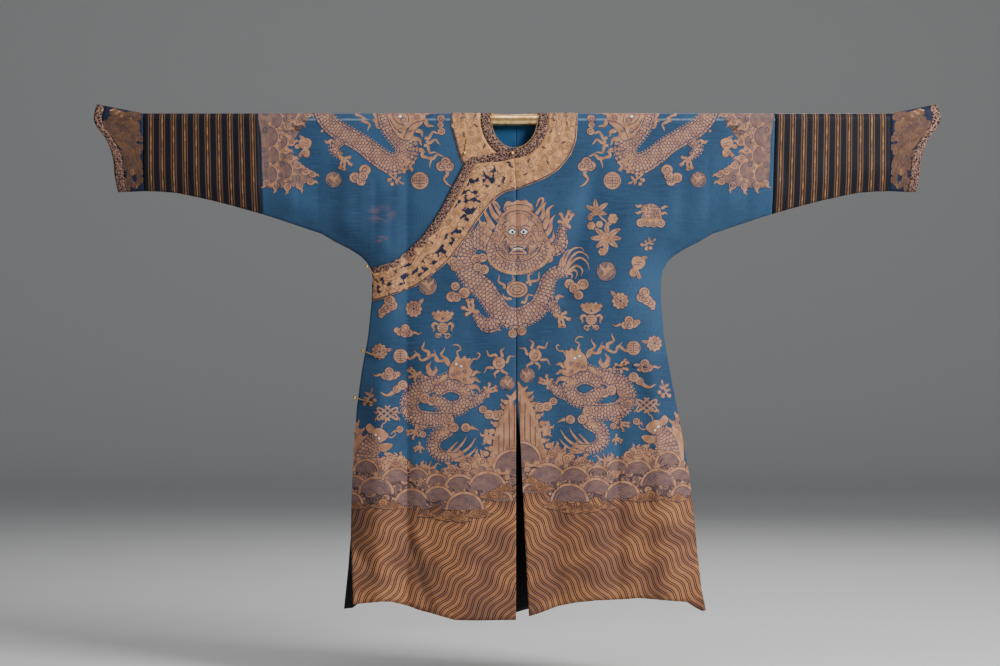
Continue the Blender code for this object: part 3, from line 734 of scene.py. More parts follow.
@dataclass(frozen=True)
class BillowThread(Thread):
    """Dark and mauve thread in fine rings about 4 mm apart, as the billows have them."""

    name: str = "mauve_silk_billow_rings"
    line: str = "#453A46"
    light: str = "#87675A"
    deep: str = "#6E5450"
    pitch: float = 4.2 * MM

    def make(self) -> bpy.types.Material:
        """Makes the material."""
        made, tree, shader = self.start()
        u, _, place = self.flat(tree)
        worn = self.speckle(tree, place, 0.02, 0.03, 2.0)
        base = blend(tree, window(tree, worn, 0.35, 0.68), self.light, self.deep)
        phase = maths(tree, "ABSOLUTE", maths(tree, "SUBTRACT",
                                              maths(tree, "FRACT", maths(tree, "DIVIDE", u, self.pitch)),
                                              0.5))
        lines = window(tree, phase, 0.3, 0.14)
        tree.links.new(blend(tree, maths(tree, "MULTIPLY", lines, 0.75), base, self.line),
                       shader.inputs["Base Color"])
        self.relief(tree, shader, lines)
        return made


@dataclass(frozen=True)
class Galloon(Thread):
    """Dark brown woven braid, speckled all over by its small figures."""

    name: str = "brown_figured_galloon"
    light: str = "#9A7664"
    deep: str = "#22161A"
    grain: float = 6.2 * MM

    def make(self) -> bpy.types.Material:
        """Makes the material."""
        made, tree, shader = self.start()
        place = self.flat(tree)[2]
        cells = add_node(tree, "ShaderNodeTexVoronoi",
                         {"Scale": 1 / self.grain, "feature": "DISTANCE_TO_EDGE"},
                         {"Vector": place.outputs[0]})
        worn = self.speckle(tree, place, self.grain * 0.8, self.grain * 0.8, 2.0)
        figure = maths(tree, "MULTIPLY", window(tree, cells.outputs["Distance"], 0.22, 0.05),
                       window(tree, worn, 0.3, 0.62))
        tree.links.new(blend(tree, figure, self.deep, self.light), shader.inputs["Base Color"])
        self.relief(tree, shader, figure, 0.5, 0.3 * MM)
        return made


@dataclass(frozen=True)
class TwistedCord(Thread):
    """Gold-wrapped cord with painted shade in the groove between its strands; its coordinates are turns and
    lay lengths.
    """

    name: str = "gold_wrapped_cord"
    light: str = "#B98D58"
    deep: str = "#4A2E1C"

    def make(self) -> bpy.types.Material:
        """Makes the material."""
        made, tree, shader = self.start()
        u, v, _ = self.flat(tree)
        phase = maths(tree, "FRACT", maths(tree, "ADD", maths(tree, "MULTIPLY", u, 2.0),
                                           maths(tree, "MULTIPLY", v, -1.0)))
        # painted shade: the dark colour follows the groove between the two strands
        painted_groove_shade = window(tree, maths(tree, "ABSOLUTE", maths(tree, "SUBTRACT", phase, 0.5)), 0.3, 0.12)
        tree.links.new(blend(tree, painted_groove_shade, self.light, self.deep), shader.inputs["Base Color"])
        return made


@dataclass(frozen=True)
class Lining(Finish):
    """The inner side of the gauze, blue at the yoke, and near black lower down as painted shade inside the
    skirt.
    """

    name: str = "gauze_inner_side"
    roughness: float = 0.85
    upper: str = "#234E76"
    # painted shade: near black, for the shaded inside of the skirt, with a dark lattice in it
    lower: str = "#14141A"
    shaded_lattice: str = "#2B2420"

    def make(self) -> bpy.types.Material:
        """Makes the material."""
        made, tree, shader = self.start()
        _, v, place = self.flat(tree)
        fine = self.speckle(tree, place, 0.004, 0.004, 1.0)
        dark = blend(tree, window(tree, fine, 0.45, 0.6), self.lower, self.shaded_lattice)
        # painted shade: from 0.25 to 0.6 m down the cloth the inner side turns from blue to the shaded near
        # black
        tree.links.new(blend(tree, window(tree, v, 0.25, 0.6), self.upper, dark), shader.inputs["Base Color"])
        self.relief(tree, shader, fine, 0.3)
        return made


@dataclass(frozen=True)
class Metal(Finish):
    """Polished and slightly aged brass or gilt, spun smooth, with a faint unevenness of its gloss."""

    metallic: float = 1.0
    gloss: float = 0.5
    bright: str = "#F5CE94"
    aged: str = "#CC965C"
    spot: float = 14 * MM

    def make(self) -> bpy.types.Material:
        """Makes the material."""
        made, tree, shader = self.start()
        place = add_node(tree, "ShaderNodeTexCoord")
        noise = add_node(tree, "ShaderNodeTexNoise", {"Scale": 1 / self.spot, "Detail": 3.0},
                         {"Vector": place.outputs["Object"]})
        base = blend(tree, window(tree, noise.outputs["Fac"], 0.4, 0.7), self.bright, self.aged)
        tree.links.new(base, shader.inputs["Base Color"])
        rough = add_node(tree, "ShaderNodeMapRange",
                         {"To Min": self.roughness - 0.06, "To Max": self.roughness + 0.12},
                         {"Value": noise.outputs["Fac"]})
        tree.links.new(rough.outputs[0], shader.inputs["Roughness"])
        return made


class Finishes:
    """Every finish of the robe, made once."""

    def __init__(self) -> None:
        """Makes the materials."""
        self.gauze = SilkGauze(foam_level=892 * MM, water_level=980 * MM).make()
        self.gauze_mirrored = SilkGauze(name="blue_silk_gauze_right", lean=1.0,
                                        stains=((-352, 246, 46), (-352, 312, 24))).make()
        self.lining = Lining().make()
        self.striped = StripedSilk().make()
        self.brocade = Thread(name="gold_brocade", light="#CF9867", deep="#9C6E49", sheen=0.1).make()
        self.galloon = Galloon().make()
        self.cord = TwistedCord().make()
        self.tan = Thread(name="tan_silk", light="#B38464", deep="#8E644D", sheen=0.08).make()
        self.line = Thread(name="blue_grey_silk_outline", light="#39435C", deep="#282F46").make()
        self.scale = ScaleThread(light="#B38464", deep="#946A52").make()
        self.white = Thread(name="white_silk", light="#E6E2DA", deep="#CFCBC4").make()
        self.black = Thread(name="black_silk", light="#15161C", deep="#0E0F14").make()
        self.billow = BillowThread().make()
        self.navy = Thread(name="navy_silk", light="#1E2742", deep="#161C30").make()
        self.mauve = Thread(name="dusky_silk", light="#8A6858", deep="#63504F").make()
        self.dusk = Thread(name="dark_dusky_outline", light="#4E3D42", deep="#3C2F37").make()
        self.rust = Thread(name="rust_gold_silk", light="#9C6C46", deep="#724D34").make()
        self.umber = Thread(name="dull_gold_silk", light="#73533B", deep="#533C2D").make()
        self.brass = Metal(name="polished_brass", roughness=0.32).make()
        self.gilt = Metal(name="gilt_button_metal", roughness=0.3, bright="#E2BC70", aged="#9C7440").make()

    def threads(self) -> tuple[bpy.types.Material, ...]:
        """The finishes of the woven figures, in the order of their hues."""
        return (self.tan, self.line, self.scale, self.brocade, self.white, self.black, self.billow, self.navy,
                self.mauve, self.dusk, self.rust, self.umber)


@dataclass
class Cut:
    """Sizes of the cut that the robe's panels share, in metres unless a line says otherwise."""

    neck_x: float = -7 * MM
    neck_half_width: float = 62.4 * MM
    neck_drop: float = 76.7 * MM
    neck_back_drop: float = 14 * MM
    ring_half_width: float = 87.6 * MM
    ring_drop: float = 101 * MM
    ring_back_drop: float = 39 * MM
    facing_half_width: float = 163 * MM
    facing_back_drop: float = 115 * MM
    centre_seam: float = -2.6 * MM
    under_lap_edge: float = -8 * MM
    armpit: float = 374 * MM
    armpit_drop: float = 416 * MM
    sleeve_seam: float = 669 * MM
    sleeve_lean: float = -12 * MM
    cuff_seam: float = 970 * MM
    # share of the way from side to centre, height of the hem of the back's left half, in mm
    left_back_hem: Table = (
        (0, -1274), (0.05, -1272), (0.09, -1256), (0.16, -1244), (0.25, -1244), (0.35, -1254), (0.45, -1268),
        (0.56, -1280), (1, -1284),
    )
    hem_tuck: float = 4 * MM
    hem_drop: float = 1280 * MM
    armpit_ease: float = 8 * MM
    seam_gap: float = 0.3 * MM
    cloth_top: float = 1.5 * MM
    cloth_wall: float = 1.1 * MM
    # heights over the inner side of the cloth, and thickness, of what is sewn on it
    facing_top: float = 3.0 * MM
    galloon_top: float = 3.4 * MM
    band_wall: float = 1.2 * MM
    figure_rise: float = 0.35 * MM
    # how much of the flat cut one face takes up
    column: float = 4.6 * MM
    row: float = 13 * MM
    sleeve_columns: int = 52
    lap_rows: int = 26
    yoke_rows: int = 31
    # height, distance of the vent's open edge from the centre, in mm
    vent: Table = ((-736, -2.6), (-832, 8.6), (-941, 14), (-1087, 20.8), (-1300, 31))
    # height, distance of the back's left and right edge from the centre, in mm
    left_back_edge: Table = DRAPE.left_edge[:-2] + ((-1131, 437), (-1276, 452), (-1300, 454))
    # share of the way from side to centre, height of the hem, in mm
    left_hem: Table = (
        (0, -1256), (0.17, -1248), (0.23, -1249), (0.32, -1260), (0.42, -1274), (0.52, -1284), (0.62, -1296),
        (0.79, -1297), (1, -1296),
    )
    right_hem: Table = (
        (0, -1271), (0.02, -1274), (0.06, -1264), (0.1, -1250), (0.25, -1244), (0.37, -1240), (0.47, -1244),
        (0.61, -1245), (0.73, -1251), (0.83, -1261), (0.93, -1277), (1, -1287),
    )
    under_lap_hem: Table = ((0, -1215),)
    # upper edge of the lap from armpit to neck: distance from the centre, height, in mm
    lap_line: Table = (
        (-377, -385), (-335, -374), (-304, -359), (-276, -333), (-244, -302), (-216, -263), (-195, -229),
        (-173, -187), (-146, -135), (-136.5, -117), (-127, -105), (-109, -98), (-58, -88), (-31, -82),
        (-2.6, -77),
    )

    def lean(self, v: np.ndarray) -> np.ndarray:
        """How far the sleeve's seams lean towards the body at a depth."""
        return self.sleeve_lean * np.maximum(v, 0) / self.armpit_drop


CUT = Cut()


@dataclass
class Panel:
    """A body half cut in one with its blue sleeve, or the outer lap alone."""

    name: str
    node: str
    side: Side
    face: Face
    layer: Layer
    edge: Table
    hem: Callable[[np.ndarray], np.ndarray]
    inner: float
    flat: tuple[float, float]
    vent: bool = False

    def levels(self) -> np.ndarray:
        """Depths of the rows from the ridge to the level of the armpit."""
        over = -DRAPE.quarter + DRAPE.quarter * np.linspace(0, 1, 9)[:-1]
        neck = CUT.neck_drop * np.sin(np.radians(np.linspace(0, 90, 13)))[:-1]
        low = np.linspace(CUT.neck_drop, CUT.armpit_drop, CUT.yoke_rows)
        return np.concatenate([over, neck, low])

    def near_edge(self, v: np.ndarray) -> np.ndarray:
        """The edge beside the neck and the centre seam, at depths above the armpit."""
        sign = self.side.value
        if self.face is Face.FRONT:
            share = np.clip(v / CUT.neck_drop, 0, 1)
        else:
            share = np.clip((v + DRAPE.quarter) / CUT.neck_back_drop, 0, 1)
        edge = CUT.neck_x + sign * CUT.neck_half_width * np.sqrt(1 - share**2)
        limit = np.maximum(edge, self.inner) if sign > 0 else np.minimum(edge, self.inner)
        return np.where(share < 1, limit, self.inner)

    def yoke(self, s: np.ndarray, t: np.ndarray) -> tuple[np.ndarray, np.ndarray]:
        """Flat places of the body above the armpit."""
        levels = self.levels()
        v = np.interp(t, np.linspace(0, 1, len(levels)), levels)
        side = self.side.value * CUT.armpit
        return side + (self.near_edge(v) - side) * s, v

    def sleeve(self, s: np.ndarray, t: np.ndarray) -> tuple[np.ndarray, np.ndarray]:
        """Flat places of the blue sleeve, from its seam to the body."""
        levels = self.levels()
        level = np.interp(t, np.linspace(0, 1, len(levels)), levels)
        distance = CUT.sleeve_seam + (CUT.armpit - CUT.sleeve_seam) * s
        v = np.where(level < 0, level, level * -DRAPE.low(distance) / CUT.armpit_drop)
        share = (distance - CUT.armpit) / (CUT.sleeve_seam - CUT.armpit)
        return self.side.value * (distance + CUT.lean(v) * share), v

    def skirt(self, s: np.ndarray, t: np.ndarray) -> tuple[np.ndarray, np.ndarray]:
        """Flat places of the body below the armpit."""
        v = CUT.armpit_drop + (self.hem(s) - CUT.armpit_drop) * t
        side = read(self.edge, -v / MM) * MM
        near = np.full_like(v, self.inner)
        if self.vent:
            near = np.where(-v < self.vent_top(), read(CUT.vent, -v / MM) * MM, near)
        reach = np.minimum((v - CUT.armpit_drop) / CUT.armpit_ease, 1)
        side = CUT.armpit + (side - CUT.armpit) * reach
        side = self.side.value * side
        return side + (near - side) * s, v

    def vent_top(self) -> float:
        """Height of the top of the vent."""
        return CUT.vent[0][0] * MM

    def lap_top(self, s: np.ndarray, t: np.ndarray) -> tuple[np.ndarray, np.ndarray]:
        """Flat places of the outer lap above the armpit."""
        x = -CUT.armpit + (self.inner + CUT.armpit) * s
        top = -read(CUT.lap_line, x / MM) * MM
        return x, top + (CUT.armpit_drop - top) * t

    def make(self, dress: Finishes) -> bpy.types.Object:
        """Builds the panel.

        Args:
            dress: the finishes.

        Returns:
            The piece.
        """
        sheet = Sheet(self.name, self.face, self.layer, CUT.cloth_top, CUT.cloth_wall)
        columns = round(abs(CUT.armpit - abs(self.inner)) / CUT.column)
        down = round((CUT.hem_drop - CUT.armpit_drop) / CUT.row)
        rows = len(self.levels()) - 1
        if self.node == "outer_lap":
            sheet.stretch(columns, CUT.lap_rows, self.lap_top)
        else:
            sheet.stretch(columns, rows, self.yoke)
            sheet.stretch(CUT.sleeve_columns, rows, self.sleeve)
        sheet.stretch(columns, down, self.skirt)
        gauze = dress.gauze if self.side is Side.LEFT else dress.gauze_mirrored
        made = sheet.finish((gauze, dress.lining))
        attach(made, "root")
        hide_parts(self.node)
        return made


@dataclass
class StripedSleeve:
    """Front or back of a striped lower sleeve."""

    side: Side
    face: Face
    # share of the rows that lies over the rod
    over: float = 0.15
    columns: int = 36
    rows: int = 40

    def flat(self, s: np.ndarray, t: np.ndarray) -> tuple[np.ndarray, np.ndarray]:
        """Flat places from the seam to the cuff."""
        distance = CUT.sleeve_seam + CUT.seam_gap + (CUT.cuff_seam - CUT.sleeve_seam - CUT.seam_gap) * s
        down = (t - self.over) / (1 - self.over)
        v = np.where(t < self.over, -DRAPE.quarter * (1 - t / self.over), -DRAPE.low(distance) * down)
        share = (CUT.cuff_seam - distance) / (CUT.cuff_seam - CUT.sleeve_seam)
        return self.side.value * (distance + CUT.lean(v) * share), v

    def grain(self, x: np.ndarray, v: np.ndarray) -> tuple[np.ndarray, np.ndarray]:
        """The stripes' own coordinates, which lean with the seam."""
        run = CUT.cuff_seam - CUT.sleeve_seam
        lean = CUT.lean(v)
        return (np.abs(x) - lean * CUT.cuff_seam / run) / (1 - lean / run), v

    def make(self, dress: Finishes) -> bpy.types.Object:
        """Builds the sleeve's half."""
        tail = f"{self.side.name.lower()}_{self.face.name.lower()}"
        sheet = Sheet(f"striped_sleeve_{tail}", self.face, Layer.UNDER, CUT.cloth_top, CUT.cloth_wall)
        sheet.stretch(self.columns, self.rows, self.flat)
        made = sheet.finish((dress.striped, dress.lining), grain=self.grain)
        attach(made, "root")
        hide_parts(f"sleeve_{tail}")
        return made


@dataclass
class Cuff:
    """Front or back of a horse-hoof cuff with its edging."""

    side: Side
    face: Face
    room: float = 15 * MM
    # from the upper fold down: outer x and z, width of the edging, in mm
    sections: Table = (
        (1092, 41, 21), (1098, 18, 21), (1099, 0, 21), (1090, -20, 22), (1069, -47, 24), (1053, -82, 25),
        (1047, -113, 25), (1045, -145, 24), (1037, -188, 23),
    )
    low_edge: float = 185 * MM
    # rough size of the whole cuff, by which its pattern is drawn
    wide: float = 100 * MM
    tall: float = 210 * MM
    fine: int = 121
    rows: int = 30

    def place(self, s: np.ndarray, t: np.ndarray, lift: float) -> np.ndarray:
        """Points on the cuff, for shares across from the sleeve and down from the fold."""
        v = -DRAPE.quarter + (self.low_edge + DRAPE.quarter) * t
        start = DRAPE.lay(np.full_like(v, CUT.cuff_seam), v, self.face, Layer.UNDER, lift)
        rows = spline([one[:2] for one in self.sections], self.fine) * MM
        steps = np.linspace(0, 1, self.fine)
        depth = self.face.value * (DRAPE.half_seam + self.room * np.sin(math.pi * t) + lift)
        end = np.stack([np.interp(t, steps, rows[:, 0]), depth, np.interp(t, steps, rows[:, 1])], axis=1)
        points = start + (end - start) * s[:, None]
        points[:, 0] *= self.side.value
        return points

    def border(self, t: np.ndarray) -> np.ndarray:
        """Share across at which the edging starts."""
        steps = np.linspace(0, 1, len(self.sections))
        run = np.interp(t, steps, [one[0] for one in self.sections]) - CUT.cuff_seam / MM
        return 1 - np.interp(t, steps, [one[2] for one in self.sections]) / run

    def make(self, dress: Finishes) -> list[bpy.types.Object]:
        """Builds the cuff and its edging."""
        made = []
        tail = f"{self.side.name.lower()}_{self.face.name.lower()}"
        for kind, node, finish, slot in (
            ("brocade_cuff", "cuff", dress.navy, "brocade"),
            ("cuff_galloon", "cuff_edging", dress.galloon, "galloon"),
        ):
            edging = node == "cuff_edging"
            lift = CUT.cloth_top + (0.5 * MM if edging else 0)
            sheet = Sheet(f"{kind}_{tail}", self.face, Layer.UNDER, lift, CUT.cloth_wall)

            def flat(s: np.ndarray, t: np.ndarray) -> tuple[np.ndarray, np.ndarray]:
                """Shares across and down of this part of the cuff."""
                border = self.border(t)
                return (border + (1 - border) * s if edging else border * s), t

            def grain(s: np.ndarray, t: np.ndarray) -> tuple[np.ndarray, np.ndarray]:
                """Rough size in metres of those shares."""
                return CUT.cuff_seam + self.wide * s, self.tall * t

            sheet.stretch(4 if edging else 14, self.rows, flat)
            one = sheet.finish(
                (finish, dress.lining), grain=grain, place=lambda s, t: self.place(s, t, lift)
            )
            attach(one, "root")
            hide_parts(f"{node}_{tail}")
            made.append(one)
        return made


@dataclass
class Band:
    """Edging or facing, between two edges that are given point by point."""

    name: str
    node: str
    face: Face
    layer: Layer
    near: Sequence[tuple[float, float]]
    far: Sequence[tuple[float, float]]
    galloon: bool
    columns: int
    per_row: int = 5
    stand_off: float = 2.2 * MM
    stand_run: float = 130 * MM

    def flat(self, s: np.ndarray, t: np.ndarray) -> tuple[np.ndarray, np.ndarray]:
        """Flat places across and along the band."""
        steps = np.linspace(0, 1, len(self.near))
        near, far = np.array(self.near), np.array(self.far)
        x = np.interp(t, steps, near[:, 0]) * (1 - s) + np.interp(t, steps, far[:, 0]) * s
        v = np.interp(t, steps, near[:, 1]) * (1 - s) + np.interp(t, steps, far[:, 1]) * s
        return x, v

    def size(self) -> tuple[float, float]:
        """Greatest width of the band and the length of its middle line."""
        near, far = np.array(self.near), np.array(self.far)
        middle = (near + far) / 2
        width = np.linalg.norm(near - far, axis=1).max()
        return round(float(width), 3), round(float(np.linalg.norm(np.diff(middle, axis=0), axis=1).sum()), 3)

    def ease(self, x: np.ndarray, v: np.ndarray) -> np.ndarray:
        """A band on the lap stands off where the panel turns near the armpit."""
        if self.layer is Layer.UNDER:
            return np.zeros_like(x)
        away = DRAPE.seam_distance(x, -np.maximum(v, 0))
        return np.where(x < 0, self.stand_off * (1 - smooth(away / self.stand_run)), 0)

    def make(self, dress: Finishes) -> bpy.types.Object:
        """Builds the band."""
        lift = CUT.galloon_top if self.galloon else CUT.facing_top
        sheet = Sheet(self.name, self.face, self.layer, lift, CUT.band_wall)
        sheet.stretch(self.columns, (len(self.near) - 1) * self.per_row, self.flat)
        finish = dress.galloon if self.galloon else dress.brocade
        made = sheet.finish((finish, dress.lining), ease=self.ease)
        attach(made, "root")
        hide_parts(self.node)
        return made


@dataclass
class NeckBands:
    """Every band round the neck and along the lap."""

    # upper edge of the edging x and z, its lower edge x and z, outer edge of the facing x and z, in mm
    lap_sections: Table = (
        (-7, -77, -7, -101, -3, -182), (-31, -82, -47, -110, -31, -188.5), (-58, -88, -75, -111, -43, -196),
        (-109, -98, -101, -114, -55, -206), (-127, -105, -111, -118, -66, -216),
        (-136.5, -117, -116, -126, -76, -227), (-146, -135, -124, -141, -84, -238),
        (-173, -187, -149.5, -188.5, -105, -265), (-195, -229, -174, -234, -128, -302),
        (-216, -263, -196, -270, -152, -333), (-244, -302, -226, -312, -179, -369),
        (-276, -333, -257, -343, -216, -400), (-304, -359, -290, -370.5, -261, -432),
        (-335, -374, -328, -389, -312, -451), (-356, -379, -352, -395, -345, -464),
        (-375, -384, -374, -400, -375, -472),
    )
    # angle round the neck from the shoulder, outer edge of the facing x and z, in mm; past the end of the
    # facing the rows have its edging alone
    right_sections: Table = (
        (0, 156, 0), (8, 156, -20), (18, 153, -55), (30, 140, -90), (46, 109, -130), (62, 73, -153),
        (77, 31, -170), (89.9, -3, -182),
    )
    left_sections: Table = (
        (0, -171, 0), (10, -171, -18), (24, -160, -57), (38, -152, -90), (52, -142, -113), (62, -134, -124),
        (68, None, None), (74, None, None), (80, None, None),
    )
    gap: float = 0.15 * MM

    def ring(self, angle: float, sign: int, half_width: float, drop: float) -> tuple[float, float]:
        """Flat place on a curve round the front of the neck; the angle counts from the shoulder."""
        turn = math.radians(angle)
        return CUT.neck_x + sign * half_width * math.cos(turn), drop * math.sin(turn)

    def front(self) -> list[Band]:
        """The bands of the front."""
        over = [-DRAPE.quarter * (1 - step / 4) for step in range(4)]
        edging_near, edging_far, facing_near, facing_far = [], [], [], []
        for v in over:
            edging_near.append((CUT.neck_x + CUT.neck_half_width, v))
            edging_far.append((CUT.neck_x + CUT.ring_half_width - self.gap, v))
            facing_near.append((CUT.neck_x + CUT.ring_half_width + self.gap, v))
            facing_far.append((self.right_sections[0][1] * MM, v))
        for angle, x, z in self.right_sections:
            edging_near.append(self.ring(angle, 1, CUT.neck_half_width, CUT.neck_drop))
            edging_far.append(self.ring(angle, 1, CUT.ring_half_width - self.gap, CUT.ring_drop - self.gap))
            facing_near.append(self.ring(angle, 1, CUT.ring_half_width + self.gap, CUT.ring_drop + self.gap))
            facing_far.append((x * MM, -z * MM))
        lap_near, lap_far = [], []
        for place, (top_x, top_z, low_x, low_z, far_x, far_z) in enumerate(self.lap_sections):
            if place:
                edging_near.append((top_x * MM, -top_z * MM))
                edging_far.append((low_x * MM, -low_z * MM - self.gap))
            lap_near.append((low_x * MM, -low_z * MM + self.gap))
            lap_far.append((far_x * MM, -far_z * MM))
        left = [[], [], [], []]
        for v in over:
            for line, half in zip(left, (CUT.neck_half_width, CUT.ring_half_width - self.gap,
                                         CUT.ring_half_width + self.gap, None)):
                x = CUT.neck_x - half if half else self.left_sections[0][1] * MM
                line.append((x, v))
        for angle, x, z in self.left_sections:
            left[0].append(self.ring(angle, -1, CUT.neck_half_width, CUT.neck_drop))
            left[1].append(self.ring(angle, -1, CUT.ring_half_width - self.gap, CUT.ring_drop - self.gap))
            if x is not None:
                left[2].append(self.ring(angle, -1, CUT.ring_half_width + self.gap, CUT.ring_drop + self.gap))
                left[3].append((x * MM, -z * MM))
        lap, under = (Face.FRONT, Layer.LAP), (Face.FRONT, Layer.UNDER)
        return [
            Band("galloon_of_neck_and_lap", "edging_lap", *lap, edging_near, edging_far, True, 4),
            Band("brocade_facing_left", "facing_left", *lap, facing_near, facing_far, False, 10),
            Band("brocade_facing_lap", "facing_lap", *lap, lap_near, lap_far, False, 12),
            Band("galloon_right", "edging_right", *under, left[0], left[1], True, 4),
            Band("brocade_facing_right", "facing_right", *under, left[2], left[3], False, 10),
        ]

    def back(self) -> list[Band]:
        """The bands of the back, which are pieced at the centre seam."""
        made = []
        quarter = DRAPE.quarter
        runs = [quarter * step / 4 for step in range(5)]
        runs += [quarter + drop * MM for drop in (4, 8, 12, 20, 30, 40, 50, 58, 65, 71, 76, 80, 84, 88.2)]
        for side in Side:
            sign = side.value
            centre = abs(CUT.centre_seam - CUT.neck_x + sign * self.gap)
            for kind, inner, outer, galloon, columns in (
                ("edging", (CUT.neck_half_width, CUT.neck_back_drop),
                 (CUT.ring_half_width - self.gap, CUT.ring_back_drop - self.gap), True, 5),
                ("facing", (CUT.ring_half_width + self.gap, CUT.ring_back_drop + self.gap),
                 (CUT.facing_half_width, CUT.facing_back_drop), False, 10),
            ):
                near, far = [], []
                for run in runs:
                    if run >= outer[1]:
                        continue
                    start = max(inner[0] * math.sqrt(max(1 - (run / inner[1]) ** 2, 0)), centre)
                    if sign < 0:
                        start = -start
                    end = sign * outer[0] * math.sqrt(1 - (run / outer[1]) ** 2)
                    near.append((CUT.neck_x + start, run - quarter))
                    far.append((CUT.neck_x + end, run - quarter))
                name = f"{'galloon' if galloon else 'brocade_facing'}_back_{side.name.lower()}"
                node = f"{kind}_back_{side.name.lower()}"
                made.append(Band(name, node, Face.BACK, Layer.UNDER, near, far, galloon, columns, 3))
        return made


@dataclass
class Cords:
    """The corded edge of the neck and the loops of the buttons, each twisted from two strands."""

    piping_radius: float = 1.3 * MM
    loop_radius: float = 1.45 * MM
    inset: float = 2.7 * MM
    climb: float = 20 * MM
    lay_length: float = 5.2 * MM
    step: float = 0.9 * MM
    sides: int = 12
    # number of the button, near x and z, far x and z, height over the inner side of the cloth, in mm
    loops: Table = (
        (2, -136, -88, -131, -50, 3.6), (3, -389, -381, -357, -420, 8.4), (4, -400, -600, -352, -619, 6.5),
        (5, -421, -722, -375, -734, 6.5),
    )
    ball: float = 4.95 * MM
    # how far the loops stand off near the side seam, and over what distance
    stand_off: float = 2.2 * MM
    stand_run: float = 42 * MM

    def neck_line(self) -> np.ndarray:
        """Places of the cord round the neck, on the flat cut first and then over the rod."""
        half = CUT.neck_half_width - self.inset
        lift = self.piping_radius + 0.15 * MM
        quarter = DRAPE.quarter
        turn = np.linspace(0, math.pi, 41)
        x = CUT.neck_x + half * np.cos(turn)
        v = (CUT.neck_drop - self.inset) * np.sin(turn)
        climb = DRAPE.lap_lift(x, -v) * smooth((x - CUT.neck_x) / self.climb + 0.5)
        front = DRAPE.lay(x, np.maximum(v, 1e-6), Face.FRONT, Layer.UNDER, lift + climb)
        rise = -quarter * np.linspace(0, 1, 8)[1:-1]
        left = DRAPE.lay(np.full_like(rise, CUT.neck_x - half), rise, Face.FRONT, Layer.UNDER, lift)
        turn = np.linspace(0, math.pi, 21)
        run = (CUT.neck_back_drop - 1.5 * self.inset) * np.sin(turn)
        back = DRAPE.lay(CUT.neck_x - half * np.cos(turn), -quarter - run, Face.FRONT, Layer.UNDER, lift)
        right = DRAPE.lay(np.full_like(rise, CUT.neck_x + half), rise[::-1], Face.FRONT, Layer.UNDER, lift)
        return np.vstack([front, left, back, right])

    def loop_line(self, near: tuple[float, float], far: tuple[float, float], lift: float) -> np.ndarray:
        """Places of a loop, from beside its ball to its sewn end."""
        near, far = np.array(near) * MM, np.array(far) * MM
        start = near + (far - near) / np.linalg.norm(far - near) * self.ball
        places = start + (far - start) * np.linspace(0, 1, 13)[:, None]
        ease = 1 - smooth(DRAPE.seam_distance(places[:, 0], places[:, 1]) / self.stand_run)
        rise = lift * MM + self.loop_radius + self.stand_off * ease
        return DRAPE.lay(places[:, 0], -places[:, 1], Face.FRONT, Layer.UNDER, rise)

    def twist(
        self, name: str, node: str, points: np.ndarray, radius: float, closed: bool, dress: Finishes
    ) -> bpy.types.Object:
        """Builds one cord along a line.

        Args:
            name: the piece's name.
            node: the solid that it replaces.
            points: the places that its middle passes.
            radius: its greatest radius.
            closed: whether it closes on itself.
            dress: the finishes.

        Returns:
            The piece.
        """
        length = np.linalg.norm(np.diff(points, axis=0), axis=1).sum()
        count = round(length / self.step)
        line = spline(points, count if closed else count + 1, closed)
        if closed:
            line = np.vstack([line, line[:1]])
        ahead = np.gradient(line, axis=0)
        if closed:
            ahead[0] = ahead[-1] = line[1] - line[-2]
        ahead /= np.linalg.norm(ahead, axis=1)[:, None]
        normal = [np.cross(ahead[0], (0, 0.3, 1))]
        for way in ahead[1:]:
            normal.append(normal[-1] - way * (normal[-1] @ way))
        normal = np.array(normal)
        normal /= np.linalg.norm(normal, axis=1)[:, None]
        side = np.cross(ahead, normal)
        miss = math.atan2(normal[-1] @ side[0], normal[-1] @ normal[0]) if closed else 0.0
        shape = bmesh.new()
        made = bmesh.ops.create_grid(shape, x_segments=self.sides, y_segments=count, size=0.5)["verts"]
        uv = shape.loops.layers.uv.new("cloth")
        shares = {one: (one.co.x + 0.5, one.co.y + 0.5) for one in made}
        for one in shape.faces:
            for corner in one.loops:
                a, b = shares[corner.vert]
                corner[uv].uv = (a, b * length / self.lay_length)
        for one, (a, b) in shares.items():
            index = round(b * count)
            turn = 2 * math.pi * a
            phase = 2 * math.pi * round(length / self.lay_length) * b / 2
            reach = radius * (0.8 + 0.2 * abs(math.cos(turn - phase)))
            if not closed and index in (0, count):
                reach *= 0.05
            turn -= miss * b
            one.co = line[index] + reach * (math.cos(turn) * normal[index] + math.sin(turn) * side[index])
        bmesh.ops.remove_doubles(shape, verts=shape.verts, dist=0.01 * MM)
        bmesh.ops.recalc_face_normals(shape, faces=shape.faces)
        data = bpy.data.meshes.new(name)
        shape.to_mesh(data)
        shape.free()
        data.shade_smooth()
        data.materials.append(dress.cord)
        cord = bpy.data.objects.new(name, data)
        bpy.context.scene.collection.objects.link(cord)
        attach(cord, "root")
        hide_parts(node)
        return cord

    def make(self, dress: Finishes) -> None:
        """Builds every cord."""
        self.twist("twisted_cord_neck", "neck_piping", self.neck_line(), self.piping_radius, True, dress)
        for number, near_x, near_z, far_x, far_z, lift in self.loops:
            line = self.loop_line((near_x, near_z), (far_x, far_z), lift)
            self.twist(f"twisted_loop_{number}", f"loop_{number}", line, self.loop_radius, False, dress)


class Hue(Enum):
    """The threads that figures are woven in; the value is the place of the finish on a piece."""

    TAN = 0
    LINE = 1
    SCALE = 2
    GOLD = 3
    WHITE = 4
    BLACK = 5
    BILLOW = 6
    NAVY = 7
    MAUVE = 8
    DUSK = 9
    RUST = 10
    UMBER = 11


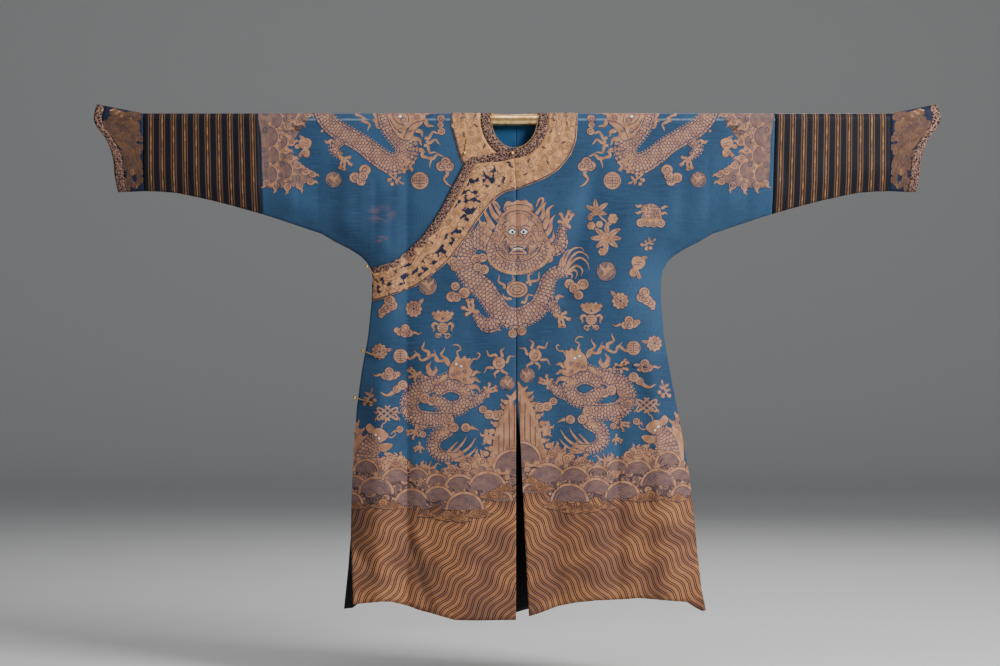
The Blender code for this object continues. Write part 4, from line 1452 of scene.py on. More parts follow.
@dataclass
class Spot:
    """Where a figure stands on the flat cut: its place, size, turn in degrees, and whether it is mirrored."""

    x: float = 0.0
    y: float = 0.0
    size: float = 1.0
    turn: float = 0.0
    flip: bool = False

    def apply(self, points: np.ndarray) -> np.ndarray:
        """Moves a figure's own points to its place."""
        out = np.array(points, dtype=float) * self.size
        if self.flip:
            out[:, 0] *= -1
        turn = math.radians(self.turn)
        x = out[:, 0] * math.cos(turn) - out[:, 1] * math.sin(turn) + self.x
        y = out[:, 0] * math.sin(turn) + out[:, 1] * math.cos(turn) + self.y
        return np.stack([x, y], axis=1)


class Weaving:
    """Woven figures, drawn flat in units of 2.6 mm and then laid on the cloth.

    The unit's origin is the left end of a drawing that has the neck's centre at 517 across and the rod at 120
    down. Each part of a figure is a grid, bent to a disc, a ribbon or a patch, at a level of its own.
    """

    UNIT = 2.6 * MM
    ORIGIN = (517.0, 120.0)
    STEP = 0.12 * MM
    # parts in one small mesh
    PARTS = 70
    # height of the first level under the rod at which figures are split, the way to the next, and their count
    RUNGS = (2 * MM, 3 * MM, 9)
    # places across at which figures are split, beside the sharp crease and the centre seam
    CREASES = (403.6, 407.3, 411.0, 514.2, 516.0, 517.8)

    def __init__(self, name: str, face: Face, layer: Layer, base: float) -> None:
        """Starts an empty weaving.

        Args:
            name: the piece's name.
            face: the side of the robe.
            layer: the layer that it lies on.
            base: height of its lowest level over the inner side of the cloth.
        """
        self.name, self.face, self.layer, self.base = name, face, layer, base
        self.spots: list[Spot] = []
        self.chunks: list[bpy.types.Mesh] = []
        self.cut: Table = ()
        self.grain_size = 1.0
        self.swap: dict[Hue, Hue] = {}
        self.ease: Optional[Callable] = None
        self.lay: Optional[Callable] = None
        self.open_chunk()

    def open_chunk(self) -> None:
        """Starts the next small mesh, because operators slow down on a large one."""
        self.shape = bmesh.new()
        self.grain = self.shape.loops.layers.uv.new("cloth")
        self.parts = 0

    def close_chunk(self) -> None:
        """Puts the small mesh aside."""
        for x1, y1, x2, y2, side in self.cut:
            self.split(self.shape, (x1, y1, 0), Vector((y1 - y2, x2 - x1, 0)) * side, True)
        data = bpy.data.meshes.new("chunk")
        self.shape.to_mesh(data)
        self.shape.free()
        self.chunks.append(data)

    def flush(self) -> None:
        """Puts the small mesh aside and starts the next."""
        self.close_chunk()
        self.open_chunk()

    @staticmethod
    def split(shape: bmesh.types.BMesh, at: Sequence[float], away: Sequence[float],
              clear: bool = False) -> None:
        """Splits flat figures along a line through a place; what is past it may be cleared."""
        geometry = [*shape.verts, *shape.edges, *shape.faces]
        bmesh.ops.bisect_plane(shape, geom=geometry, plane_co=at, plane_no=away, dist=1e-5, clear_outer=clear)

    def at(self, x: float, y: float, size: float = 1.0, turn: float = 0.0, flip: bool = False) -> "Weaving":
        """Draws the next figures at a spot; used in a with statement."""
        self.spots.append(Spot(x, y, size, turn, flip))
        return self

    def mirrored(self, flip: bool, across: float, down: float = 0.0) -> "Weaving":
        """Draws the next figures where they are, or mirrored about half the way across and moved down."""
        return self.at(across, down, 1, 0, True) if flip else self.at(0, 0)

    def __enter__(self) -> "Weaving":
        """Keeps the spot while the block runs."""
        return self

    def __exit__(self, *_: object) -> None:
        """Leaves the spot."""
        self.spots.pop()

    def grid(
        self, across: int, along: int, place: Callable, hue: Hue, level: float,
        grain: Optional[Callable] = None
    ) -> None:
        """Adds one bent grid.

        Args:
            across: faces across.
            along: faces along.
            place: gives points for the two shares, in the figure's own units.
            hue: its thread.
            level: its level, in steps.
            grain: gives the pattern's coordinates in units, without which they are the flat places.
        """
        made = bmesh.ops.create_grid(self.shape, x_segments=across, y_segments=along, size=0.5)["verts"]
        shares = np.array([one.co[:2] for one in made]) + 0.5
        points = place(shares[:, 0], shares[:, 1])
        coordinates = grain(shares[:, 0], shares[:, 1]) if grain else None
        for spot in reversed(self.spots):
            points = spot.apply(points)
        if coordinates is None:
            coordinates = points
        for one, point in zip(made, points):
            one.co = (point[0], point[1], level)
        start = {one: place for place, one in enumerate(made)}
        for one in {face for corner in made for face in corner.link_faces}:
            one.material_index = self.swap.get(hue, hue).value
            for corner in one.loops:
                corner[self.grain].uv = coordinates[start[corner.vert]] * (self.UNIT * self.grain_size)
        bmesh.ops.remove_doubles(self.shape, verts=made, dist=0.01)
        self.parts += 1
        if self.parts > self.PARTS:
            self.flush()

    def disc(
        self, x: float, y: float, rx: float, ry: float = 0.0, hue: Hue = Hue.TAN, level: float = 1,
        turn: float = 0.0, rim: float = 0.0,
    ) -> None:
        """Adds a disc or an ellipse; a rim adds a slightly larger line-coloured one below it."""
        ry = ry or rx
        if rim:
            self.disc(x, y, rx + rim, ry + rim, Hue.LINE, level - 0.5, turn)
        lean = math.radians(turn)

        def place(a: np.ndarray, r: np.ndarray) -> np.ndarray:
            px, py = rx * r * np.cos(2 * math.pi * a), ry * r * np.sin(2 * math.pi * a)
            return np.stack([x + px * math.cos(lean) - py * math.sin(lean),
                             y + px * math.sin(lean) + py * math.cos(lean)], axis=1)

        reach = max(rx, ry)
        self.grid(max(8, min(28, round(reach * 2.6) + 5)), max(1, round(reach / 2.6)), place, hue, level)

    def patch(
        self, outline: Sequence[Sequence[float]], hue: Hue = Hue.TAN, level: float = 1, rim: float = 0.0,
        sharp: bool = False,
    ) -> None:
        """Fills a closed outline round its middle; a rim adds a larger line-coloured one below it."""
        given = np.array(outline, dtype=float)
        middle = given.mean(axis=0)
        length = np.linalg.norm(np.diff(np.vstack([given, given[0]]), axis=0), axis=1).sum()
        count = max(12, min(90, round(length / 1.6)))
        if sharp:
            loop = np.vstack([given, given[0]])
            run = np.concatenate([[0], np.cumsum(np.linalg.norm(np.diff(loop, axis=0), axis=1))])
            steps = np.linspace(0, run[-1], count + 1)[:-1]
            line = np.stack([np.interp(steps, run, loop[:, 0]), np.interp(steps, run, loop[:, 1])], axis=1)
        else:
            line = spline(given, count, closed=True)
        if rim:
            away = line - middle
            far = middle + away * (1 + rim / np.maximum(np.linalg.norm(away, axis=1), 1))[:, None]
            self.fan(far, middle, Hue.LINE, level - 0.5)
        self.fan(line, middle, hue, level)

    def fan(self, line: np.ndarray, middle: np.ndarray, hue: Hue, level: float) -> None:
        """Fills a closed line from its middle."""
        count = len(line)
        reach = np.linalg.norm(line - middle, axis=1).max()

        def place(a: np.ndarray, r: np.ndarray) -> np.ndarray:
            index = np.round(a * count).astype(int) % count
            return middle + (line[index] - middle) * r[:, None]

        self.grid(count, max(1, round(reach / 2.6)), place, hue, level)

    def ribbon(
        self, points: Sequence[Sequence[float]], widths: Sequence[float], hue: Hue = Hue.TAN,
        level: float = 1,
        rim: float = 0.0, step: float = 1.5,
    ) -> None:
        """Adds a ribbon along a smooth line; its width runs evenly through the widths given."""
        given = np.array(points, dtype=float)
        length = np.linalg.norm(np.diff(given, axis=0), axis=1).sum()
        count = max(3, round(length / step))
        line = spline(given, count + 1)
        run = np.gradient(line, axis=0)
        run /= np.maximum(np.linalg.norm(run, axis=1), 1e-6)[:, None]
        side = np.stack([-run[:, 1], run[:, 0]], axis=1)
        width = np.interp(np.linspace(0, 1, count + 1), np.linspace(0, 1, len(widths)), widths)
        across = 1 if width.max() < 3 else 2 if width.max() < 8 else max(3, round(width.max() / 3.2))
        for extra, colour_of, height in ((rim, Hue.LINE, level - 0.5), (0.0, hue, level)):
            if extra == 0 and colour_of is Hue.LINE and hue is not Hue.LINE:
                continue
            wide = width / 2 + extra

            def place(a: np.ndarray, b: np.ndarray) -> np.ndarray:
                index = np.round(b * count).astype(int)
                return line[index] + side[index] * (wide[index] * (2 * a - 1))[:, None]

            def grain(a: np.ndarray, b: np.ndarray) -> np.ndarray:
                index = np.round(b * count).astype(int)
                return np.stack([b * length, wide[index] * (2 * a - 1)], axis=1)

            self.grid(across, count, place, colour_of, height, grain)

    def line(self, points: Sequence[Sequence[float]], width: float = 0.75, level: float = 2,
             hue: Hue = Hue.LINE) -> None:
        """Adds a thin line."""
        self.ribbon(points, (width, width), hue, level)

    def curl(
        self, x: float, y: float, r: float, start: float = 0.0, turns: float = 1.3, level: float = 2,
        hue: Hue = Hue.LINE, width: float = 0.75, flip: bool = False,
    ) -> None:
        """Adds a spiral line that winds inwards."""
        steps = np.linspace(0, 1, round(9 * turns) + 3)
        turn = math.radians(start) + steps * turns * 2 * math.pi * (-1 if flip else 1)
        reach = r * (1 - 0.78 * steps)
        self.ribbon(np.stack([x + reach * np.cos(turn), y + reach * np.sin(turn)], axis=1),
                    (width, width * 0.8), hue, level, step=1.1)

    def lobe(self, x: float, y: float, r: float, level: float = 1, start: float = 0.0, flip: bool = False,
             hue: Hue = Hue.TAN) -> None:
        """Adds one lobe of a cloud, rimmed and curled."""
        self.disc(x, y, r, r * 0.94, hue, level, rim=0.6)
        if r > 3.0:
            self.curl(x, y, r * 0.66, start, 1.3, level + 0.6, flip=flip)

    def flame(self, points: Sequence[Sequence[float]], width: float = 2.4, level: float = 1) -> None:
        """Adds a wavy tongue that ends in a point."""
        self.ribbon(points, (width, width * 0.95, width * 0.7, 0.3), Hue.TAN, level, step=1.2)

    def tongue(self, x: float, y: float, length: float, turn: float, width: float = 2.2, bend: float = 1.0,
               level: float = 1) -> None:
        """Adds an S-shaped tongue of flame from a root towards a direction in degrees."""
        way = math.radians(turn)
        ahead, side = np.array([math.cos(way), math.sin(way)]), np.array([-math.sin(way), math.cos(way)])
        root = np.array([x, y])
        path = [root + ahead * length * a + side * bend * length * b
                for a, b in ((0, 0), (0.2, 0.12), (0.42, -0.04), (0.62, -0.13), (0.82, 0.02), (1, 0.1))]
        self.flame(path, width, level)

    def claw(self, x: float, y: float, turn: float, size: float = 1.0, level: float = 2) -> None:
        """Adds a dragon's foot with its five talons, spread round a direction in degrees."""
        self.disc(x, y, 2.5 * size, 2.1 * size, level=level, rim=0.5)
        for lean, reach in ((-112, 7.0), (-58, 9.0), (-6, 9.6), (44, 9.0), (150, 6.2)):
            sign = 1 if lean <= 0 else -1
            way = math.radians(turn + lean)
            path = [np.array([x, y])]
            for bend, share in ((0.0, 0.42), (0.55, 0.3), (-0.5, 0.22), (1.5, 0.2), (2.3, 0.14)):
                aim = way + sign * bend
                path.append(path[-1] + reach * size * share * np.array([math.cos(aim), math.sin(aim)]))
            self.ribbon(path, (2.2 * size, 2.0 * size, 2.0 * size, 1.7 * size, 1.3 * size, 0.4), level=level,
                        rim=0.3, step=1.2)
            self.disc(*path[2], 1.35 * size, level=level + 0.3)

    def fringe(self, points: Sequence[Sequence[float]], r: float = 1.5, pitch: float = 2.6, level: float = 1,
               hue: Hue = Hue.TAN) -> None:
        """Adds a row of small scallops along a line."""
        given = np.array(points, dtype=float)
        length = np.linalg.norm(np.diff(given, axis=0), axis=1).sum()
        for place in spline(given, max(2, round(length / pitch) + 1)):
            self.disc(*place, r, hue=hue, level=level)

    def spikes(self, points: Sequence[Sequence[float]], length: float = 3.0, pitch: float = 3.4,
               side: int = 1, level: float = 1) -> None:
        """Adds a row of small fins that point away from a line."""
        given = np.array(points, dtype=float)
        total = np.linalg.norm(np.diff(given, axis=0), axis=1).sum()
        line = spline(given, max(3, round(total / pitch) + 1))
        run = np.gradient(line, axis=0)
        run /= np.maximum(np.linalg.norm(run, axis=1), 1e-6)[:, None]
        for place, way in zip(line, run):
            away = side * np.array([-way[1], way[0]])
            self.ribbon([place - away, place + away * length * 0.5 + way * 0.3,
                         place + away * length + way * 1.2],
                        (3.0, 1.8, 0.2), level=level, step=2.0)

    def scaled_body(
        self, points: Sequence[Sequence[float]], widths: Sequence[float], level: float = 1, fins: int = 1
    ) -> None:
        """Adds a dragon's body with a belly band, scales and a row of fins."""
        given = np.array(points, dtype=float)
        length = np.linalg.norm(np.diff(given, axis=0), axis=1).sum()
        count = max(6, round(length / 6))
        line = spline(given, count)
        run = np.gradient(line, axis=0)
        run /= np.maximum(np.linalg.norm(run, axis=1), 1e-6)[:, None]
        away = np.stack([-run[:, 1], run[:, 0]], axis=1)
        width = np.interp(np.linspace(0, 1, count), np.linspace(0, 1, len(widths)), widths)[:, None]
        back = line + away * width * 0.5 * fins
        self.ribbon(points, widths, Hue.SCALE, level, rim=0.7)
        self.line(line - away * width * 0.36 * fins, 0.7, level + 0.6)
        self.line(line + away * width * 0.38 * fins, 0.6, level + 0.6)
        self.spikes(back, 1.7, 3.2, fins, level - 0.7)

    def finish(self, dress: Finishes, slot: str = "silk_gauze") -> bpy.types.Object:
        """Lays the figures on the cloth.

        Args:
            dress: the finishes.
            slot: the record's material slot; not used.

        Returns:
            The finished piece.
        """
        self.close_chunk()
        shape = bmesh.new()
        for data in self.chunks:
            shape.from_mesh(data)
            bpy.data.meshes.remove(data)
        if not self.lay:
            self.split(shape, (0, self.ORIGIN[1] - DRAPE.quarter / self.UNIT, 0), (0, -1, 0), True)
            for across in self.CREASES:
                self.split(shape, (across, 0, 0), (1, 0, 0))
            first, apart, count = self.RUNGS
            for step in range(count):
                self.split(shape, (0, self.ORIGIN[1] + (first - apart * step) / self.UNIT, 0), (0, 1, 0))
        flat = np.array([one.co[:] for one in shape.verts])
        x = (flat[:, 0] - self.ORIGIN[0]) * self.UNIT
        v = (flat[:, 1] - self.ORIGIN[1]) * self.UNIT
        lift = self.base + flat[:, 2] * self.STEP
        if self.ease:
            lift = lift + self.ease(x, v)
        if self.lay:
            points = self.lay(flat[:, 0], flat[:, 1], lift)
        else:
            points = DRAPE.lay(x, v, self.face, self.layer, lift)
        for one, point in zip(shape.verts, points):
            one.co = point
        shape.normal_update()
        for one in shape.faces:
            middle = one.calc_center_median()
            if one.normal.y * middle.y + one.normal.z * max(middle.z, 0.0) < 0:
                one.normal_flip()
        data = bpy.data.meshes.new(self.name)
        shape.to_mesh(data)
        shape.free()
        made = bpy.data.objects.new(self.name, data)
        bpy.context.scene.collection.objects.link(made)
        for one in dress.threads():
            data.materials.append(one)
        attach(made, "root")
        log.info("%s %d faces", self.name, len(data.polygons))
        return made


@dataclass
class Brocade:
    """Gold clouds and a dragon on navy, on the facing's bands and the cuffs."""

    dress: Finishes
    rise: float = 0.25 * MM
    lap_clouds: int = 74
    # the lap's dragon: x, y of its body in drawing units
    body: Table = (
        (464, 204), (457, 212), (456, 222), (450, 229), (443, 231), (440, 240), (434, 249), (426, 252),
        (419, 259), (413, 268), (404, 271), (396, 277), (387, 280),
    )

    def cloud(self, w: Weaving, x: float, y: float, r: float, place: int, level: float = 1.0) -> None:
        """Draws a gold cloud of three lobes with a dark rim."""
        turn = 2.399 * place
        for step in range(3):
            way = turn + 2.1 * step
            w.lobe(x + r * 0.75 * math.cos(way), y + r * 0.75 * math.sin(way), r * 0.72, level + 0.4 * step,
                   start=50 * step + 31 * place, flip=step % 2 > 0, hue=Hue.GOLD)
        w.ribbon(((x, y), (x + r * 1.5 * math.cos(turn), y + r * 1.5 * math.sin(turn)),
                  (x + r * 2.4 * math.cos(turn + 0.4), y + r * 2.4 * math.sin(turn + 0.4))),
                  (r * 0.7, r * 0.5, 0.3), Hue.GOLD, level)

    def gap(self, w: Weaving, x: float, y: float, length: float, turn: float, width: float = 2.0) -> None:
        """Draws a navy gap between figures."""
        way = math.radians(turn)
        ahead, side = (math.cos(way), math.sin(way)), (-math.sin(way), math.cos(way))
        path = [(x + ahead[0] * length * a + side[0] * length * b,
                 y + ahead[1] * length * a + side[1] * length * b)
                for a, b in ((-0.5, 0.06), (-0.2, -0.12), (0.1, 0.1), (0.5, -0.05))]
        w.ribbon(path, (0.4, width, width * 0.8, 0.4), Hue.NAVY, 0.6)

    def across(self, band: Band, s: float, t: float) -> tuple[float, float]:
        """Drawing place of a share across and along a band."""
        x, v = band.flat(np.array([s]), np.array([t]))
        return float(x[0]) / Weaving.UNIT + Weaving.ORIGIN[0], float(v[0]) / Weaving.UNIT + Weaving.ORIGIN[1]

    def facing(self, band: Band, length: float, dense: float) -> bpy.types.Object:
        """Draws the figures of one band of the facing.

        Args:
            band: the band.
            length: its length, in drawing units.
            dense: share of the band that navy gaps take up.

        Returns:
            The piece.
        """
        w = Weaving(f"brocade_figures_{band.node}", band.face, band.layer, CUT.facing_top + self.rise)
        w.ease = band.ease
        w.swap = {Hue.LINE: Hue.MAUVE}
        rows = max(3, round(length / 5.2))
        for row in range(rows):
            t = (row + 0.5) / rows
            for column, s in enumerate((0.17, 0.4, 0.63, 0.84)):
                number = row * 4 + column
                x, y = self.across(band, s + 0.03 * math.sin(number * 1.7), t)
                if number % 3 == 0 and dense > 0:
                    self.gap(w, x, y, 4.5 + 9 * dense, 40 + 67 * number, 1.2 + 3.4 * dense)
                if number % 2 == 0:
                    w.curl(x, y, 2.2 + 0.6 * math.sin(number), 47 * number, 1.4, 1.6, width=0.45,
                           flip=number % 4 > 1)
                else:
                    w.lobe(x, y, 2.6 + 0.7 * math.sin(number), 1.0 + 0.3 * dense, 47 * number, hue=Hue.GOLD)
        for s, width, hue in ((0.965, 0.9, Hue.NAVY), (0.925, 0.45, Hue.LINE)):
            line = [self.across(band, s, t) for t in np.linspace(0.004, 0.996, rows + 3)]
            w.line(line, width, 1.0, hue)
        if band.node == "facing_lap":

            def bed(a: np.ndarray, b: np.ndarray) -> np.ndarray:
                shares = [self.across(band, 0.1 + 0.66 * one, 0.1 + 0.87 * other) for one, other in zip(a, b)]
                return np.array(shares)

            w.grid(8, 60, bed, Hue.NAVY, 1.7)
            for number in range(self.lap_clouds):
                t = 0.1 + 0.87 * (number + 0.5) / self.lap_clouds
                s = 0.42 + 0.3 * math.sin(2.4 * number)
                x, y = self.across(band, s, t)
                self.cloud(w, x, y, 2.3 + 0.5 * math.sin(1.3 * number), number, 2.2)
            w.ribbon(self.body, (5, 6, 6.5, 7, 7, 6.5, 6.5, 6, 6, 5, 4.4, 3.4, 2), Hue.GOLD, 3.4, rim=0.8)
            w.spikes(self.body, 3.6, 4.2, 1, 3.2)
            w.line([(x - 0.9, y - 0.7) for x, y in self.body], 0.5, 4.0)
            for number, (x, y) in enumerate(((470, 196), (450, 217), (462, 224), (433, 239), (446, 243),
                                             (419, 251), (428, 262), (404, 262), (411, 279), (391, 272),
                                             (396, 286))):
                self.cloud(w, x, y, 3.0, number, 4.0)
        return w.finish(self.dress, "brocade")

    def cuff(self, side: Side, face: Face) -> bpy.types.Object:
        """Draws the figures of one side of a cuff, in shares of its width and height."""
        cuff = Cuff(side, face)
        w = Weaving(f"brocade_figures_cuff_{side.name.lower()}_{face.name.lower()}", face, Layer.UNDER,
                    CUT.cloth_top + 0.3 * MM)
        high, wide = 79.0, 30.0

        def lay(x: np.ndarray, y: np.ndarray, lift: np.ndarray) -> np.ndarray:
            t = np.clip(y / high, 0.0, 1.0)
            points = np.empty((len(x), 3))
            share = np.clip(x / wide, 0.0, 1.0) * cuff.border(t)
            for at in np.unique(lift):
                chosen = lift == at
                points[chosen] = cuff.place(share[chosen], t[chosen], at)
            return points

        w.lay = lay
        w.swap = {Hue.GOLD: Hue.UMBER, Hue.LINE: Hue.DUSK}
        body = ((24, 4), (14, 9), (8, 16), (12, 24), (21, 28), (23, 36), (15, 42), (9, 49), (13, 58),
                (21, 62), (20, 70), (12, 75))
        w.ribbon(body, (6, 9, 11, 11, 11, 11, 11, 11, 10, 8, 7, 4), Hue.GOLD, 1.4, rim=0.5)
        w.spikes(body, 3.6, 4.6, 1, 1.2)
        w.line(body, 0.5, 2.0)
        for number, (x, y) in enumerate(((6, 5), (23, 15), (5, 27), (25, 22), (14, 33), (5, 38), (25, 46),
                                         (5, 58), (17, 51), (25, 55), (6, 68), (25, 72), (16, 17))):
            self.cloud(w, x, y, 4.3, number, 2.4)
        return w.finish(self.dress, "brocade")

    def make(self) -> dict[str, bpy.types.Object]:
        """Builds every piece, by the node of the band or cuff that it belongs to."""
        made = {}
        bands = NeckBands()
        lengths = {"facing_lap": (125, 0.55), "facing_left": (95, 0.12), "facing_right": (60, 0.12),
                   "facing_back_left": (75, 0.12), "facing_back_right": (75, 0.12)}
        for band in (*bands.front(), *bands.back()):
            if band.node in lengths:
                made[band.node] = self.facing(band, *lengths[band.node])
        for side in Side:
            for face in Face:
                made[f"cuff_{side.name.lower()}_{face.name.lower()}"] = self.cuff(side, face)
        return made


class Motifs:
    """The traditional figures of such robes, each drawn round its own middle."""

    def __init__(self, weaving: Weaving) -> None:
        """Keeps the weaving that the figures are drawn in."""
        self.w = weaving

    def cloud(self, x: float, y: float, lobes: Sequence[tuple], tail: Sequence = (), size: float = 1.0,
              turn: float = 0.0, flip: bool = False, level: float = 1, width: float = 3.0) -> None:
        """Draws a cloud from its lobes and a tail.

        Args:
            x: place across.
            y: place down.
            lobes: x, y and radius of each lobe, the later ones on top.
            tail: points of the tail.
            size: scale of the whole.
            turn: turn in degrees.
            flip: whether it is mirrored.
            level: level of its lowest lobe.
            width: width of the tail at its root.
        """
        with self.w.at(x, y, size, turn, flip):
            if tail:
                self.w.ribbon(tail, (width, width * 0.8, width * 0.5, 0.4), level=level, rim=0.4)
            for place, (lx, ly, r) in enumerate(lobes):
                self.w.lobe(lx, ly, r, level + 0.3 + 0.5 * place, start=40 * place, flip=bool(place % 2))

    def comma(self, x: float, y: float, size: float = 1.0, turn: float = 0.0, flip: bool = False,
              level: float = 1) -> None:
        """Draws a long slanting cloud with a curled end."""
        self.cloud(x, y, ((-6.5, 8.6, 2.6), (-5, 4.6, 4.4), (-1.0, 1.4, 5.2), (4.6, -1.6, 5.2),
                          (2.0, -6.4, 5.4)),
                   (), size, turn, flip, level)

    def bank(self, x: float, y: float, size: float = 1.0, turn: float = 0.0, flip: bool = False,
             level: float = 1) -> None:
        """Draws a level bank of cloud with a streaming tail."""
        self.cloud(x, y, ((-8.5, 0, 3.0), (-4.4, 1.4, 4.4), (4.6, 1.8, 4.2), (0.2, 2.4, 4.4),
                          (0.4, -2.8, 4.6)),
                   ((7, 1.5), (11, 0.5), (14.5, 1.8), (18, -0.4)), size, turn, flip, level)

    def drift(self, x: float, y: float, size: float = 1.0, turn: float = 0.0, flip: bool = False,
              level: float = 1) -> None:
        """Draws a cloud head that trails a wavy tail."""
        self.cloud(x, y, ((-3.2, 0.4, 4.2), (3.0, 0.8, 4.0), (0.2, -3.0, 4.0)),
                   ((0, 2), (2, 6.5), (-1, 10.5), (1.5, 14.5), (5.5, 17)), size, turn, flip, level)

    def flower(self, x: float, y: float, r: float = 8.0, turn: float = 0.0, leaf: Optional[float] = None,
               level: float = 1) -> None:
        """Draws a lotus wheel with ten petals, and a leaf beside it."""
        with self.w.at(x, y, r / 8, turn):
            if leaf is not None:
                way = math.radians(leaf)
                self.leaf(6 * math.cos(way), 6 * math.sin(way), 7.5, leaf, level)
            for step in range(10):
                way = 2 * math.pi * step / 10
                self.w.disc(5.7 * math.cos(way), 5.7 * math.sin(way), 2.3, 1.9,
                            level=level + 0.4 + 0.3 * (step % 2),
                            turn=math.degrees(way), rim=0.5)
            self.w.disc(0, 0, 4.7, level=level + 1.5, rim=0.5)
            for step in range(6):
                way = 2 * math.pi * step / 6 + 0.3
                self.w.curl(2.7 * math.cos(way), 2.7 * math.sin(way), 1.2, 60 * step, 0.8, level + 2.1)
            self.w.disc(0, 0, 1.3, hue=Hue.LINE, level=level + 2.1)

    def leaf(self, x: float, y: float, length: float, turn: float, level: float = 1,
             width: float = 0.0) -> None:
        """Draws a pointed leaf with its rib, from its foot towards a direction in degrees."""
        width = width or length * 0.42
        with self.w.at(x, y, 1, turn):
            self.w.patch(((0, 0), (length * 0.3, -width * 0.5), (length * 0.72, -width * 0.42), (length, 0),
                          (length * 0.7, width * 0.36), (length * 0.3, width * 0.5)), level=level, rim=0.4)
            self.w.line(((length * 0.1, 0), (length * 0.5, -width * 0.05), (length * 0.9, 0)), 0.5,
                        level + 0.5)

    def longevity(self, x: float, y: float, r: float = 8.4, level: float = 1) -> None:
        """Draws the round longevity sign, as rows of short bars in a disc."""
        with self.w.at(x, y, r / 8.4):
            self.w.disc(0, 0, 8.4, level=level, rim=0.5)
            for side in (-1, 1):
                for row, reach in ((-5.4, 3.4), (-2.7, 5.4), (2.7, 5.4), (5.4, 3.4)):
                    self.w.line(((side * 0.9, row), (side * reach, row)), 0.75, level + 0.8)
                self.w.line(((side * 6.6, -2.2), (side * 7.0, 0), (side * 6.6, 2.2)), 0.75, level + 0.8)
                self.w.line(((side * 3.2, -1.2), (side * 3.2, 1.2)), 0.75, level + 0.8)
                self.w.line(((side * 5.0, -1.2), (side * 5.0, 1.2)), 0.75, level + 0.8)
            self.w.line(((0, -7.2), (0, 7.2)), 0.7, level + 0.8)
            self.w.line(((-2.4, 0), (2.4, 0)), 0.7, level + 0.8)

    def bird_roundel(self, x: float, y: float, r: float = 7.6, flip: bool = False, level: float = 1) -> None:
        """Draws a flying crane in a round ground."""
        with self.w.at(x, y, r / 7.6, 0, flip):
            self.w.disc(0, 0, 7.6, level=level, rim=0.5, hue=Hue.MAUVE)
            self.w.ribbon(((-5.5, -3), (-2.5, -1.8), (0, 0.4), (2.2, 3), (4.6, 4.6)),
                          (0.8, 2.2, 3.4, 2.4, 0.6), level=level + 0.8, rim=0.4)
            for bend in (-1, 1):
                self.w.ribbon(((0, 0), (2.8 * bend + 1, -3.2), (3.2 * bend + 1.8, -5.8)), (3.2, 2.6, 0.6),
                              level=level + 1.2, rim=0.4)
            self.w.line(((-6.2, 2), (-4.4, 4.6), (-1.4, 6.2)), 0.9, level + 0.8)
            self.w.line(((2.8, -6.2), (5.6, -4), (6.6, -0.6)), 0.9, level + 0.8)

    def endless_knot(self, x: float, y: float, size: float = 1.0, level: float = 1) -> None:
        """Draws the endless knot with its ribbons."""
        with self.w.at(x, y, size):
            for side in (-1, 1):
                self.w.ribbon(((side * 6, 1), (side * 10, -3), (side * 12, 0), (side * 15, -2.5)),
                              (2, 1.8, 1.6, 0.4), level=level)
                self.w.ribbon(((side * 6, 3), (side * 9, 7), (side * 12.5, 5), (side * 13, 9)),
                              (2, 1.8, 1.6, 0.4), level=level)
            for side in (-1, 1):
                ends = {}
                for step in (-1, 0, 1):
                    middle, way = np.array((3.6 * step, 3.0 * side * step)), np.array((6.2, -5.2 * side))
                    ends[step] = (middle - way, middle + way)
                    self.w.ribbon((middle - way, middle, middle + way), (1.7, 1.7, 1.7),
                                  level=level + 0.6 + 0.4 * (side > 0), rim=0.3)
                for end, (first, second) in enumerate(((-1, 0), (0, 1))):
                    a, b = ends[first][end], ends[second][end]
                    bow = (a + b) / 2 + np.array((-2.8, 2.4 * side)) * (1 if end == 0 else -1)
                    self.w.ribbon((a, bow, b), (1.7, 1.7, 1.7), level=level + 0.5, rim=0.3)

    def pearl(self, x: float, y: float, r: float = 6.0, level: float = 1, flip: bool = False) -> None:
        """Draws a small flaming pearl with tongues that stream from it."""
        with self.w.at(x, y, r / 6, 0, flip):
            for rx, ry, length, turn, bend in ((1.5, -5, 11, -75, 1), (-2, -5, 13, -150, 1.2),
                                               (-4, 2, 13, 150, -1), (3, 5, 11, 60, 1), (-1, 5, 10, 110, -1),
                                               (5, -1, 12, -35, 1)):
                self.w.tongue(rx, ry, length, turn, 2.6, bend, level - 0.4)
            self.w.disc(0, 0, 6, level=level + 0.6, rim=0.6)
            self.w.curl(0, 0, 3.6, 20, 1.2, level + 1.2)

